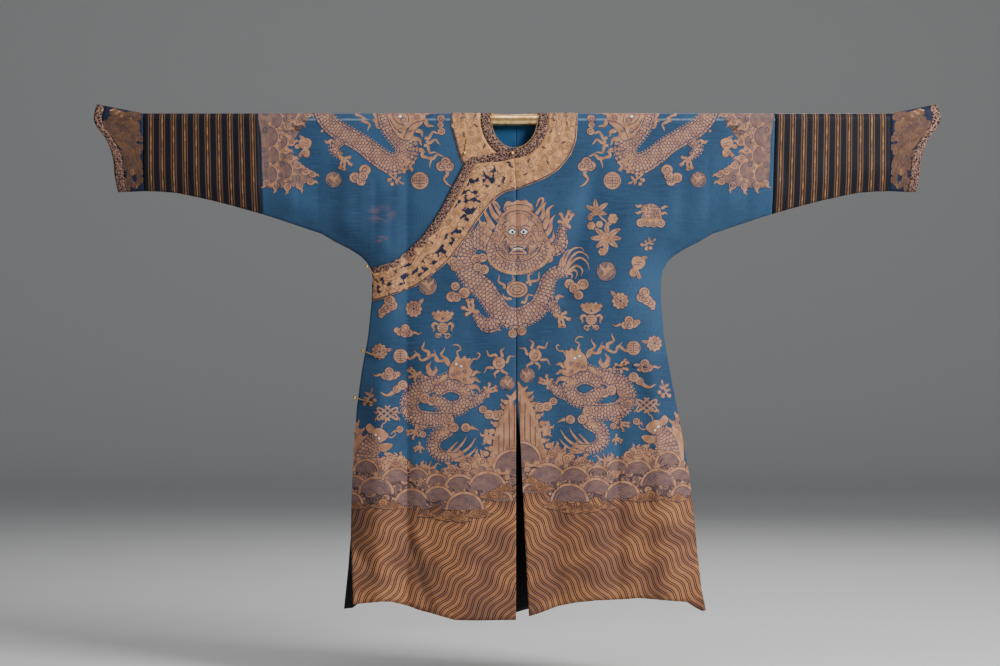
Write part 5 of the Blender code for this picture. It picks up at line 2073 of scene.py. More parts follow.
    def vase(self, x: float, y: float, size: float = 1.0, level: float = 1) -> None:
        """Draws a vase on a stand, full of flowers, with ribbons."""
        with self.w.at(x, y, size):
            self.w.patch(((-3, -2), (-5.8, 2), (-4.6, 6.6), (0, 8.4), (4.6, 6.6), (5.8, 2), (3, -2),
                          (0, -2.4)), level=level + 0.6, rim=0.5)
            self.w.ribbon(((-3.2, -5), (0, -4.4), (3.2, -5)), (2.6, 2.6, 2.6), level=level + 0.8, rim=0.4)
            for row in (0.2, 2.6, 5.0):
                self.w.line(((-4.4, row), (0, row + 0.8), (4.4, row)), 0.6, level + 1.3)
            for px, py in ((-9.5, -12), (-6.5, -9), (-4.8, -13.4), (-1.8, -9.6), (0, -13), (2.2, -9.6),
                           (4.8, -13.4), (6.8, -9), (9.5, -12), (-3.4, -7), (3.4, -7)):
                for step in range(4):
                    way = 1.57 * step + px
                    self.w.disc(px + 1.3 * math.cos(way), py + 1.3 * math.sin(way), 1.3, level=level + 0.4,
                                rim=0.35)
            for side in (-1, 1):
                self.w.ribbon(((side * 3, -4), (side * 7.5, -6.4), (side * 10.5, -8.5)), (1.4, 1.2, 0.8),
                              level=level)
                self.w.ribbon(((side * 5, 0), (side * 8.5, -2), (side * 11, 1), (side * 9.2, 5),
                               (side * 10.6, 7)), (1.8, 2.6, 3.4, 2.2, 0.4), level=level, rim=0.4)
                self.w.ribbon(((0, 8), (side * 2.8, 10), (side * 6, 9.4), (side * 8, 12), (side * 5.4, 14)),
                              (1.8, 1.6, 1.6, 1.4, 0.9), level=level, rim=0.4)
                self.w.curl(side * 4, 12.6, 2.2, 0, 1.0, level + 0.5, Hue.TAN, 1.1, flip=side < 0)

    def fish(self, x: float, y: float, flip: bool = False, level: float = 2) -> None:
        """Draws the horned carp that leaps from the waves."""
        with self.w.at(x, y, 1, 0, flip):
            self.w.ribbon(((-14, 26), (-13.5, 16), (-10, 8), (-4, 2)), (26, 22, 17, 13), Hue.SCALE, level,
                          rim=0.6)
            self.w.fringe(((-23, 22), (-20, 10), (-14, 0)), 2.0, 3.4, level - 0.6)
            self.w.patch(((-9, -6), (-2, -8.5), (4, -5), (7, -1), (3.5, 3.5), (-3, 6), (-9, 3)),
                         level=level + 0.8, rim=0.6)
            self.w.patch(((-13, -4), (-16, -9), (-12, -13), (-8.6, -10.4), (-6, -7), (-9, -3)),
                         level=level + 0.4, rim=0.5)
            self.w.patch(((-1, 8), (6, 6.5), (11, 8), (9, 12), (3, 15), (-3, 13)), level=level + 0.4, rim=0.5)
            for px, py in ((-5.6, -1.8), (-2.2, 1.8)):
                self.w.disc(px, py, 1.25, 1.0, Hue.WHITE, level + 1.8, turn=45)
            self.w.ribbon(((0, -7), (1, -12), (5, -15), (3.4, -18), (0.6, -16.5)), (1.2, 1.1, 1, 0.9, 0.7),
                          level=level)
            self.w.ribbon(((6, 0), (10, 1), (14, -2), (12, -5), (9.6, -2.6)), (1.2, 1.1, 1, 0.9, 0.7),
                          level=level)
            for bend in (0, 4, 8):
                self.w.curl(-10 + bend, -1 + bend * 0.5, 2.4, 90, 1.1, level + 1.6)

    def lantern(self, x: float, y: float, level: float = 1) -> None:
        """Draws a square bundle of scrolls that stands on clouds."""
        with self.w.at(x, y):
            self.w.patch(((-9, -8), (-3, -10.5), (4, -10), (9.5, -6), (11, 0), (10, 7), (3, 6), (-4, 7),
                          (-9, 4), (-8, -1)), level=level + 0.3, rim=0.5)
            for px, py, r in ((-9.5, 8, 4.4), (-2.6, 8.6, 3.8), (3.4, 8.8, 4.0), (10, 8.4, 4.6)):
                self.w.lobe(px, py, r, level + 0.6)
            for px, py, turn in ((-9, -8, 190), (-9, -2, 180), (11, -7, -10), (11, -2, 10)):
                self.w.tongue(px, py, 6.5, turn, 2.6, 0.9, level)
            for row in range(-2, 2):
                for column in range(-2, 3):
                    self.w.curl(column * 3.7 + (row % 2), row * 3.6 - 1, 1.6, 70 * column + 50 * row, 1.1,
                                level + 1.4)

    def sprig(self, x: float, y: float, size: float = 1.0, turn: float = 0.0, flip: bool = False,
              level: float = 1) -> None:
        """Draws a small sprig with buds."""
        with self.w.at(x, y, size, turn, flip):
            self.w.ribbon(((-4, 7), (-1, 2), (0, -2), (3, -7)), (1.4, 1.6, 1.4, 0.8), level=level)
            for px, py, length, way in ((-1, 2, 6, 200), (0, 0, 6.5, -30), (-1, 4, 6, 30), (0, -2, 6, 215),
                                        (2, -5, 5, -80)):
                self.leaf(px, py, length, way, level + 0.4)
            for px, py in ((-5, 6.5), (1.6, 6.8), (5.2, 3)):
                self.w.disc(px, py, 2.1, level=level + 0.5, rim=0.4)

    def gourd(self, x: float, y: float, size: float = 1.0, turn: float = 0.0, flip: bool = False,
              level: float = 1) -> None:
        """Draws a bound fan and leaves, one of the lucky objects."""
        with self.w.at(x, y, size, turn, flip):
            self.w.patch(((-5, -9), (1, -10), (6, -7), (5, -1), (0, 2), (-5, 0), (-7, -5)), level=level + 0.3,
                         rim=0.5)
            self.w.ribbon(((2, 0), (-2, 5), (-7, 9)), (4, 5, 3.6), level=level + 0.5, rim=0.5)
            self.w.disc(1, 6, 3.6, 4.4, level=level + 0.4, rim=0.5)
            for a, b in (((-4, -6), (2, -4)), ((-3, -3), (3, -1)), ((-5, 8), (-1, 3)), ((-4, 9.4), (0, 4.6))):
                self.w.line((a, b), 0.6, level + 1.2)
            self.leaf(-1, -9, 7, -150, level)

    def upper_group(self) -> None:
        """Draws the spray, the scrolls, the fan and the crane between the chest and the arm."""
        self.peony_spray(606, 228)
        self.lantern(650, 215)
        self.gourd(636, 267, 1.05, 20, True)
        self.bird_roundel(606, 271.5, 9.4, True)

    def peony_spray(self, x: float, y: float, level: float = 1) -> None:
        """Draws a tall spray of peonies with leaves, above the chest."""
        with self.w.at(x, y):
            self.w.ribbon(((2, 8), (1, -4), (-5, -10), (-10, -17)), (1.8, 1.8, 1.6, 1.4), level=level)
            for px, py, length, turn, width in (
                (-10, -17, 12, -95, 4.6), (-9, -17, 13, -35, 4.6), (-10, -16, 11, 15, 4.4),
                (-11, -17, 11, -150, 4.4), (-11, -15, 9, 150, 4.0), (2, 8, 14, -30, 5.2), (3, 10, 12, 5, 5.0),
                (2, 12, 12, 40, 5.0), (-2, 10, 14, 178, 5.0), (-2, 8, 12, -140, 5.0), (-1, 12, 12, 140, 5.0),
                (0, 13, 14, 95, 5.0), (1, 7, 12, -95, 4.6), (2, -2, 8, -60, 3.6),
            ):
                self.leaf(px, py, length, turn, level + 0.3, width)
            for px, py, r in ((6.5, -9, 4.6), (-15, -2, 3.8), (-6.8, -3.4, 3.2), (0, 10, 5.2), (-4, 24, 3.6),
                              (-10, -16, 3.6), (-16, -9.4, 2.2)):
                for step in range(6):
                    way = 2 * math.pi * step / 6
                    self.w.disc(px + r * 0.62 * math.cos(way), py + r * 0.62 * math.sin(way), r * 0.5,
                                level=level + 0.8 + 0.3 * (step % 2), rim=0.4)
                self.w.disc(px, py, r * 0.4, level=level + 1.6, rim=0.4)

    def coral(self, x: float, y: float, size: float = 1.0, flip: bool = False, level: float = 1) -> None:
        """Draws a branch of coral with ribbons that stands on the waves."""
        with self.w.at(x, y, size, 0, flip):
            for turn, length in ((-150, 9), (-125, 12), (-95, 11), (-65, 12), (-38, 9)):
                way = math.radians(turn)
                self.w.ribbon(((0, 5), (length * 0.5 * math.cos(way), 3 + length * 0.5 * math.sin(way)),
                               (length * math.cos(way), 3 + length * math.sin(way))), (3.4, 2.6, 0.8),
                               level=level, rim=0.4)
            self.w.tongue(6, -2, 11, -20, 2.2, 1.2, level)
            self.w.lobe(0, 5, 4.6, level + 0.5)

    def frontal_dragon(self) -> None:
        """Draws the large dragon of the chest, seen from the front, above its pearl."""
        w = self.w
        w.scaled_body(((484, 232), (474, 241), (466, 252), (466, 266), (474, 280), (485, 290), (494, 303),
                       (503, 314), (516, 318), (530, 313), (540, 304), (545, 291), (548, 280), (556, 272),
                       (566, 271)),
                      (14, 18, 21, 21, 20, 20, 20, 19, 17, 13, 10), 1.5)
        for path, width in (
            (((565, 271), (572, 262), (580, 258), (587, 263), (589, 270)), 2.6),
            (((565, 270), (571, 258), (579, 252), (587, 256), (588, 260)), 2.6),
            (((563, 268), (567, 256), (573, 249), (581, 248), (584, 252)), 2.4),
            (((562, 267), (563, 258), (566, 252), (570, 250)), 2.2),
            (((567, 272), (576, 266), (582, 270), (581, 276)), 2.6),
            (((567, 273), (574, 270), (577, 274), (575, 279)), 2.4),
            (((566, 274), (571, 274), (572, 277), (570, 280)), 2.2),
            (((560, 268), (560, 262), (562, 257)), 2.0),
        ):
            w.flame(path, width, 1.6)
        w.scaled_body(((549, 250), (557, 249), (562, 243), (562, 233), (565, 225)), (13, 13, 11, 8, 6), 1.2,
                      -1)
        w.claw(566, 222, -80, 1.3)
        w.tongue(553, 254, 11, 115, 3.4, 0.8, 1)
        w.scaled_body(((497, 322), (488, 326), (480, 321), (474, 313)), (13, 14, 9, 6), 1.2)
        w.claw(472, 310, -120, 1.3)
        w.tongue(490, 329, 12, 5, 4.0, 0.6, 1)
        w.scaled_body(((543, 300), (551, 304), (556, 310), (559, 315)), (15, 13, 9, 6), 1.2)
        w.claw(560, 317, 60, 1.25)
        w.tongue(552, 301, 13, -25, 4.6, 0.9, 1)
        w.patch(((476, 228), (482, 222), (490, 226), (492, 240), (490, 250), (480, 250), (472, 244)),
                Hue.SCALE, 3.0, rim=0.6)
        self.frontal_head()
        w.disc(517, 289.6, 10.6, 7.9, level=1.6, rim=0.7)
        for rx, ry, count in ((7.6, 5.4, 15), (4.2, 2.6, 11)):
            turns = np.linspace(0, 2 * math.pi, count)
            w.line([(517 + rx * math.cos(a), 289.6 + ry * math.sin(a)) for a in turns], 0.8, 2.2)
        for x, y, length, turn, bend in ((504, 289, 15, -115, 1), (509, 288, 14, -70, -1),
                                         (526, 283, 13, -60, 1), (530, 286, 17, -50, -1.1),
                                         (511, 300, 8, 200, 1), (521, 302, 16, -30, 1.2),
                                         (506, 300, 7, -120, 1)):
            w.tongue(x, y, length, turn, 2.6, bend, 1)
        w.lobe(512.6, 333.5, 4.4, 1.2)
        w.lobe(521.8, 331, 4.6, 1.6, flip=True)

    def frontal_head(self) -> None:
        """Draws the head of the chest's dragon, with its mane, horns, beard and whiskers."""
        w = self.w
        for path, width in (
            (((492, 236), (486, 229), (480, 222), (479, 217)), 5.0),
            (((494, 229), (489, 221), (485, 212), (487, 207)), 5.4),
            (((499, 221), (493, 214), (490, 206), (491, 201)), 5.4),
            (((545, 236), (550, 229), (551, 221), (555, 215)), 5.0),
            (((543, 229), (547, 220), (548, 210), (554, 205)), 5.8),
            (((539, 222), (543, 215), (543, 208), (546, 202)), 4.6),
            (((548, 243), (553, 238), (553, 231)), 4.0), (((489, 244), (484, 240), (482, 233)), 4.0),
        ):
            w.ribbon(path, (width, width * 0.9, width * 0.6, 0.4), level=3.2, rim=0.45)
        for path in (((535, 216), (541, 207), (543, 199), (539, 200), (536, 207)),
                     ((501, 216), (496, 208), (493, 202), (497, 204), (500, 209))):
            w.ribbon(path, (3.6, 2.8, 2.2, 1.8, 1.0), level=3.6, rim=0.5)
        w.patch(((504, 211), (505, 204), (508.5, 201.5), (513, 203), (517, 200.4), (521, 201.6), (526, 200),
                 (528.5, 203), (532, 205), (533, 211), (524, 213), (512, 213)), level=4.0, rim=0.6)
        w.patch(((487, 250), (489.5, 260), (495, 266), (504, 270.6), (516, 272.4), (528, 270.6), (539, 265.6),
                 (547, 257.5), (550.6, 247), (548, 239.5), (543.5, 232), (541, 222), (535, 214.5),
                 (526, 210.5), (515, 209), (505, 212), (499, 219), (495.5, 229), (490, 239)),
                level=4.2, rim=0.8)
        jaw = ((490.5, 247), (493.5, 257.5), (502, 264.5), (516, 267.2), (530, 265), (541, 258.5),
               (546.8, 247))
        w.ribbon(jaw, (6, 8, 8.5, 8.5, 8.5, 8, 6), Hue.SCALE, 4.7)
        w.fringe(((488, 252), (490, 261), (496, 267.5), (505, 271.8), (516, 273.4), (528, 271.8),
                  (540, 266.6), (548, 258.5), (551.4, 248)), 1.9, 3.1, 4.6)
        inner = ((494.5, 244), (498, 253), (506, 259.5), (517, 261.6), (528, 260), (537.5, 253.5), (542, 244))
        w.line(inner, 0.9, 5.2)
        w.line([(x + (517.5 - x) * 0.13, y - 1.8) for x, y in inner], 0.6, 5.2)
        for step in range(13):
            a = 0.3 + (math.pi - 0.6) * step / 12
            w.curl(518 + 19.5 * math.cos(a), 243.5 + 13.6 * math.sin(a), 1.8, 57 * step, 1.0, 5.2)
        w.disc(519, 220.5, 9.4, 6.6, level=5.0, rim=0.5)
        for path in (
            ((504, 217), (510, 212.6), (518, 211), (527, 212.6), (533, 217)),
            ((507, 207.4), (513, 205.6), (519, 205), (526, 205.8), (530, 208)),
            ((509, 227.6), (513, 225.8), (517, 228.2)), ((520, 228.2), (525, 225.6), (530, 227.4)),
            ((514.6, 229.5), (513.4, 236), (511.5, 240)), ((521.6, 229.5), (522.8, 236), (524.6, 240)),
            ((518, 229), (518.2, 233), (518, 236.5)), ((502, 226), (505.4, 222), (508.5, 221)),
            ((530, 221), (533.6, 222.6), (536.4, 226.4)),
        ):
            w.line(path, 0.8, 5.4)
        for side in (-1, 1):
            whisker = ((5.5, 241), (10, 236.6), (13, 233), (15.5, 238), (19, 244), (24, 242.4), (28.5, 247.6))
            w.ribbon([(518 + side * dx, y) for dx, y in whisker], (1.4, 2.2, 2.6, 2.4, 2.2, 1.8, 0.6),
                     level=5.8,
                     rim=0.6)
            for dx, y, r, start in ((17, 228, 4.2, 20), (23, 234, 3.4, 90), (21, 221.5, 3.2, 200),
                                    (13.5, 243.5, 2.8, 140), (27, 240.5, 2.4, 0), (20.5, 249.5, 2.6, 60),
                                    (12, 218, 2.4, 300)):
                w.curl(518 + side * dx, y, r, start, 1.5, 5.3, flip=side < 0)
            w.disc(518 + side * 5.9, 231.8, 3.5, 2.5, Hue.WHITE, 6.2, rim=0.8)
            w.disc(518 + side * 5.5, 232.4, 1.35, 1.35, Hue.BLACK, 7.2)
            w.line([(518 + side * dx, y) for dx, y in ((2.4, 231.4), (5.6, 228.9), (9.6, 231.2))], 0.9, 6.6)
            w.patch([(518 + side * dx, y) for dx, y in ((9.6, 246), (9.6, 253.6), (5.4, 250))], Hue.LINE, 6.2,
                    sharp=True)
            w.disc(518 + side * 3.3, 241.4, 2.3, 1.8, level=5.7, rim=0.5)
            w.curl(518 + side * 3.3, 241.4, 1.4, 0 if side < 0 else 180, 1.0, 6.2, flip=side < 0)
        w.patch(((513.5, 239.5), (518, 236.6), (522.5, 239.5), (523, 243.5), (518, 245.4), (513, 243.5)),
                level=5.5, rim=0.5)
        w.patch(((507.6, 244.8), (528.4, 244.8), (529, 250), (527.4, 255.4), (508.6, 255.4), (507, 250)),
                Hue.LINE, 5.4, sharp=True)
        w.patch(((508.4, 245.6), (527.6, 245.6), (528.2, 250), (526.7, 254.6), (509.3, 254.6), (507.8, 250)),
                level=5.9, sharp=True)
        w.ribbon(((512.5, 248.8), (518, 247.6), (523.5, 248.8)), (1.8, 2.6, 1.8), Hue.LINE, 6.3)
        w.line(((513.4, 249.2), (518, 248.4), (522.6, 249.2)), 0.8, 6.9, Hue.WHITE)
        w.ribbon(((513, 252.6), (518, 251.4), (523, 252.6)), (1.2, 1.6, 1.2), Hue.LINE, 6.3)
        w.line(((518, 257), (515.8, 262), (518, 267), (520.2, 262), (518, 257)), 0.7, 5.3)

    def profile_dragon(self, flip: bool = False) -> None:
        """Draws one of the two rising dragons of the skirt, mirrored about the centre seam."""
        w = self.w
        with w.mirrored(flip, 1036, -8):
            w.scaled_body(((455, 373), (445, 381), (430, 385), (417, 392), (410, 404), (416, 416), (430, 419),
                           (444, 419), (449, 428), (438, 436), (434, 446), (441, 454), (454, 455),
                           (462, 452)),
                          (9, 13, 16, 17, 17, 16, 15, 14, 13, 12, 10, 7), 1.5)
            w.scaled_body(((436, 392), (448, 385), (460, 387), (467, 395), (462, 405), (450, 408), (440, 402),
                           (432, 396)),
                          (12, 14, 14, 14, 14, 13, 11), 2.8, -1)
            w.scaled_body(((465, 403), (474, 401), (481, 397), (487, 391)), (12, 11, 9, 5), 2.0, -1)
            for path, width in (
                (((452, 456), (462, 452), (470, 446), (476, 437)), 3.0),
                (((450, 454), (458, 448), (464, 441), (467, 435)), 2.8),
                (((455, 458), (466, 456), (473, 451), (477, 446)), 2.8),
                (((447, 453), (453, 446), (458, 441)), 2.6),
                (((452, 458), (460, 460), (468, 458)), 2.6),
            ):
                w.flame(path, width, 2)
            for x, y, turn, size in ((416, 374, -160, 1.05), (489, 391, -40, 1.05), (415, 431, 150, 1.0),
                                     (420, 446, 130, 0.8)):
                w.claw(x, y, turn, size, 2.2)
            for path, width in ((((428, 384), (424, 378), (419, 375)), (9, 7, 5)),
                                (((428, 420), (422, 427), (417, 430)), (9, 7, 5))):
                w.ribbon(path, width, Hue.SCALE, 1.2, rim=0.6)
            w.tongue(428, 374, 13, -80, 5, 0.8, 1)
            w.tongue(433, 376, 11, -70, 4.4, -0.8, 1.4)
            for x, y, length, turn in ((449, 366, 22, -140), (446, 364, 17, -100), (438, 360, 26, 195),
                                       (428, 356, 15, -110), (420, 357, 16, 185)):
                w.tongue(x, y, length, turn, 3.0, 1.3, 1)
            for x, y, length, turn, width in ((468, 384, 15, 25, 5), (466, 379, 15, 8, 5),
                                              (470, 374, 11, -12, 4), (447, 377, 11, 150, 5),
                                              (463, 388, 10, 50, 4)):
                w.tongue(x, y, length, turn, width, 0.7, 3)
            w.patch(((449, 372), (451, 364), (457, 359), (465, 359), (471, 362), (470, 367), (473, 371),
                     (470, 377), (474, 382), (466, 384), (457, 379), (450, 378)), level=3.8, rim=0.7)
            w.patch(((455, 361), (457, 356), (461, 359), (465, 355.5), (467, 359), (471, 358), (469, 363),
                     (458, 365)), level=4.0, rim=0.5)
            w.ribbon(((459, 357), (457, 352), (461, 349), (458, 345), (453, 345)), (1.6, 1.4, 1.4, 1.2, 0.8),
                     level=3.0)
            w.ribbon(((470, 365), (473, 359), (477, 359), (480, 355), (478.5, 352.6), (476.8, 354)),
                     (1.6, 1.4, 1.4, 1.2, 1.0, 0.8), level=3.0)
            for x, y in ((456.6, 364), (461.4, 366)):
                w.disc(x, y, 1.35, 1.15, Hue.WHITE, 5.2, rim=0.4)
            for x, y, r, start in ((453, 374, 2.2, 0), (459, 372.5, 2.4, 90), (465, 372, 2.4, 180),
                                   (465, 379, 2.2, 30)):
                w.curl(x, y, r, start, 1.2, 4.6)
            for x, y, r in ((425, 398, 5.4), (432, 401, 4.6), (403, 385, 5), (397, 389, 4), (408, 411, 4),
                            (449, 419, 5), (454, 427, 4.8), (466, 427, 4.6), (489, 414, 4.8), (496, 415, 5),
                            (483, 409, 4), (400, 429, 3.6), (423, 434, 3.4)):
                w.lobe(x, y, r, 3.2 if 420 < x < 460 else 2.2, start=x * 7 % 360, flip=x % 2 > 0)
            for path in (((466, 428), (472, 427), (479, 430)), ((397, 390), (388, 395), (381, 392)),
                         ((400, 429), (394, 431)),
                         ((440, 433), (447, 431), (452, 428))):
                w.ribbon(path, (4.4, 3, 0.5), level=1.6, rim=0.4)

    def sea_creature(self, x: float, y: float, flip: bool = False, level: float = 1) -> None:
        """Draws a small sea creature among the crests."""
        with self.w.at(x, y, 1, 0, flip):
            for turn in (-150, -100, -40, 10, 60, 120):
                self.w.tongue(2 * math.cos(math.radians(turn)), 2 * math.sin(math.radians(turn)), 6.5, turn,
                              2.4, 1.3, level)
            self.w.disc(0, 0, 3.4, level=level + 0.4, rim=0.4)


@dataclass
class Waves:
    """The hem's billows with their foam, rocks and crests, drawn for the viewer's left and mirrored."""

    # clip lines as two points and the side kept: edges of the left half, then of the right half
    left_lines: Table = ((357, 407, 353.9, 447, 1), (353.9, 447, 350.8, 537, 1), (516, 0, 516, 600, -1))
    right_lines: Table = ((678.9, 418, 688.2, 468, -1), (688.2, 468, 695, 524, -1), (520.3, 440, 525, 538, 1))
    # x, y of a billow's foot, its half width, in the order in which they overlap
    billows: Table = (
        (417, 478, 9), (366.6, 471, 10.5), (397, 481, 12), (460, 488, 12.6), (513, 468, 17.5), (437, 483, 8),
        (487.3, 489, 16.6), (355, 487, 10), (438.7, 499, 12), (376.5, 492.6, 15), (412, 505, 15),
        (464.8, 508.8, 16.2), (352, 503, 9), (502, 500, 8),
    )
    # crest of the foam: x, y
    foam: Table = (
        (376, 462), (381, 466), (386, 461), (391, 457), (396, 460), (401, 457), (406, 463), (412, 469),
        (418, 473), (424, 470), (430, 475), (436, 473), (441, 477), (446, 472), (452, 468), (457, 471),
        (462, 464), (467, 466), (471, 459), (477, 456), (482, 461), (487, 465),
    )
    clouds: Table = (
        (357, 505, 0.9), (384, 503, 1.15), (395, 505, 0.9), (427, 513, 0.8), (448, 515, 1.2), (462, 517, 0.9),
        (478, 512, 1.2), (494, 494, 1.2), (503, 487, 0.8),
    )

    def billow(self, w: Weaving, x: float, y: float, r: float, level: float) -> None:
        """Draws one billow, an arched band round fine rings."""
        for reach, hue, rise in ((r + 3.6, Hue.LINE, 0.0), (r + 3.1, Hue.TAN, 0.3), (r + 0.5, Hue.LINE, 0.6),
                                 (r, Hue.BILLOW, 0.9)):

            def place(a: np.ndarray, b: np.ndarray) -> np.ndarray:
                way = math.pi * (1 + a)
                return np.stack([x + reach * b * np.cos(way), y + reach * 0.95 * b * np.sin(way)], axis=1)

            def grain(a: np.ndarray, b: np.ndarray) -> np.ndarray:
                return np.stack([b * reach, a * reach * 3], axis=1)

            w.grid(14, max(2, round(reach / 3.2)), place, hue, level + rise,
                   grain if hue is Hue.BILLOW else None)

    def rocks(self, w: Weaving, level: float) -> None:
        """Draws the rocks beside the vent and at the side seam, with the foam that climbs them."""
        w.patch(((517, 388), (510.5, 396), (506, 405), (502, 414), (497, 425), (494, 437), (492, 450),
                 (487, 462), (500, 474), (517, 474)),
                level=level, rim=0.7, sharp=True)
        for base, top in (((513, 470), (514, 402)), ((508, 470), (509, 410)), ((502, 470), (504, 422)),
                          ((497, 468), (499, 434))):
            w.line((base, ((base[0] + top[0]) / 2 + 0.8, (base[1] + top[1]) / 2), top), 0.8, level + 0.8)
        for x, y, r, way in ((510, 397, 2.0, -140), (506, 402, 2.6, -150), (503, 407, 2.0, -120),
                             (501, 412, 2.8, -160), (498, 418, 2.2, -130), (496, 424, 2.8, -150),
                             (492, 431, 3.0, -165), (495, 438, 2.4, -140), (489, 441, 2.8, -150),
                             (491, 448, 2.8, -170), (486, 453, 3.0, -150), (490, 459, 3.0, 180),
                             (484, 463, 3.0, -140)):
            w.lobe(x, y, r, level + 0.5, way)
            w.tongue(x, y, r * 2.4, way, r * 1.1, 1.0, level)
        w.patch(((351, 428), (355, 421), (359, 428), (363, 436), (369, 445), (376, 456), (372, 470),
                 (350, 472)), level=level, rim=0.7, sharp=True)
        for x, y, r, way in ((357, 424, 2.2, -60), (361, 431, 2.4, -40), (365, 438, 2.6, -50),
                             (370, 446, 2.8, -40), (375, 453, 3.0, -30), (353, 436, 2.4, -80),
                             (379, 460, 3.0, -30)):
            w.lobe(x, y, r, level + 0.5, way)
            w.tongue(x, y, r * 2.4, way, r * 1.1, -1.0, level)

    def half(self, w: Weaving) -> None:
        """Draws the left half of the waves."""
        self.rocks(w, 0.6)
        for place, (x, y) in enumerate(self.foam):
            r = 3.6 + 1.1 * math.sin(place * 2.3)
            w.disc(x + 1, y + 7, r * 1.9, r * 1.7, level=0.4, rim=0.5)
            w.lobe(x, y, r, 1.0 + 0.3 * (place % 3), start=-120 + 37 * place, flip=place % 2 > 0)
            w.tongue(x, y - 1, r * 2.0, -110 + 30 * math.sin(place * 1.7), r * 0.9,
                     1.2 if place % 2 else -1.2, 0.6)
        for row in range(6):
            for column in range(21):
                x = 352 + 8 * column + 3.0 * math.sin(row * 2.1 + column * 1.3)
                y = 471 + 7.0 * row + 2.4 * math.sin(row + column * 1.9)
                if y < 507 - 0.5 * max(x - 470, 0):
                    r = 3.4 + 1.0 * math.sin(column * 2.9 + row)
                    hue = Hue.MAUVE if (row * 2 + column) % 3 else Hue.TAN
                    w.lobe(x, y, r, 1.1 + 0.3 * row + 0.1 * (column % 3), 61 * column + 40 * row,
                           column % 2 > 0, hue)
        for place, (x, y, r) in enumerate(self.billows):
            level = 3.2 + 0.55 * (y - 468) / 6
            for step in range(11):
                way = math.pi * (1.03 + 0.94 * step / 10)
                w.disc(x + (r + 4.6) * math.cos(way), y + (r + 4.6) * 0.95 * math.sin(way), 1.3,
                       hue=Hue.TAN if step % 2 else Hue.MAUVE, level=level - 0.1)
            self.billow(w, x, y, r, level)
        for place, (x, y, size) in enumerate(self.clouds):
            w.ribbon(((x - 12 * size, y + 2), (x, y + 1), (x + 12 * size, y + 2)), (0.6, 7 * size, 0.6),
                     Hue.RUST, 8.0, rim=0.6)
            w.lobe(x - 4 * size, y + 0.6, 3.2 * size, 8.4, 50 * place, False, Hue.RUST)
            w.lobe(x + 4.5 * size, y + 0.8, 3.0 * size, 8.7, 70 * place, True, Hue.RUST)
            w.lobe(x, y - 1.0, 3.8 * size, 9.2, 30 * place, False, Hue.RUST)

    def make(self, w: Weaving) -> None:
        """Draws both halves, each cut along its own edges."""
        w.swap = {Hue.LINE: Hue.DUSK}
        w.cut = self.left_lines
        self.half(w)
        w.flush()
        w.cut = self.right_lines
        with w.mirrored(True, 1034, -8):
            self.half(w)
        w.flush()
        w.cut = ()


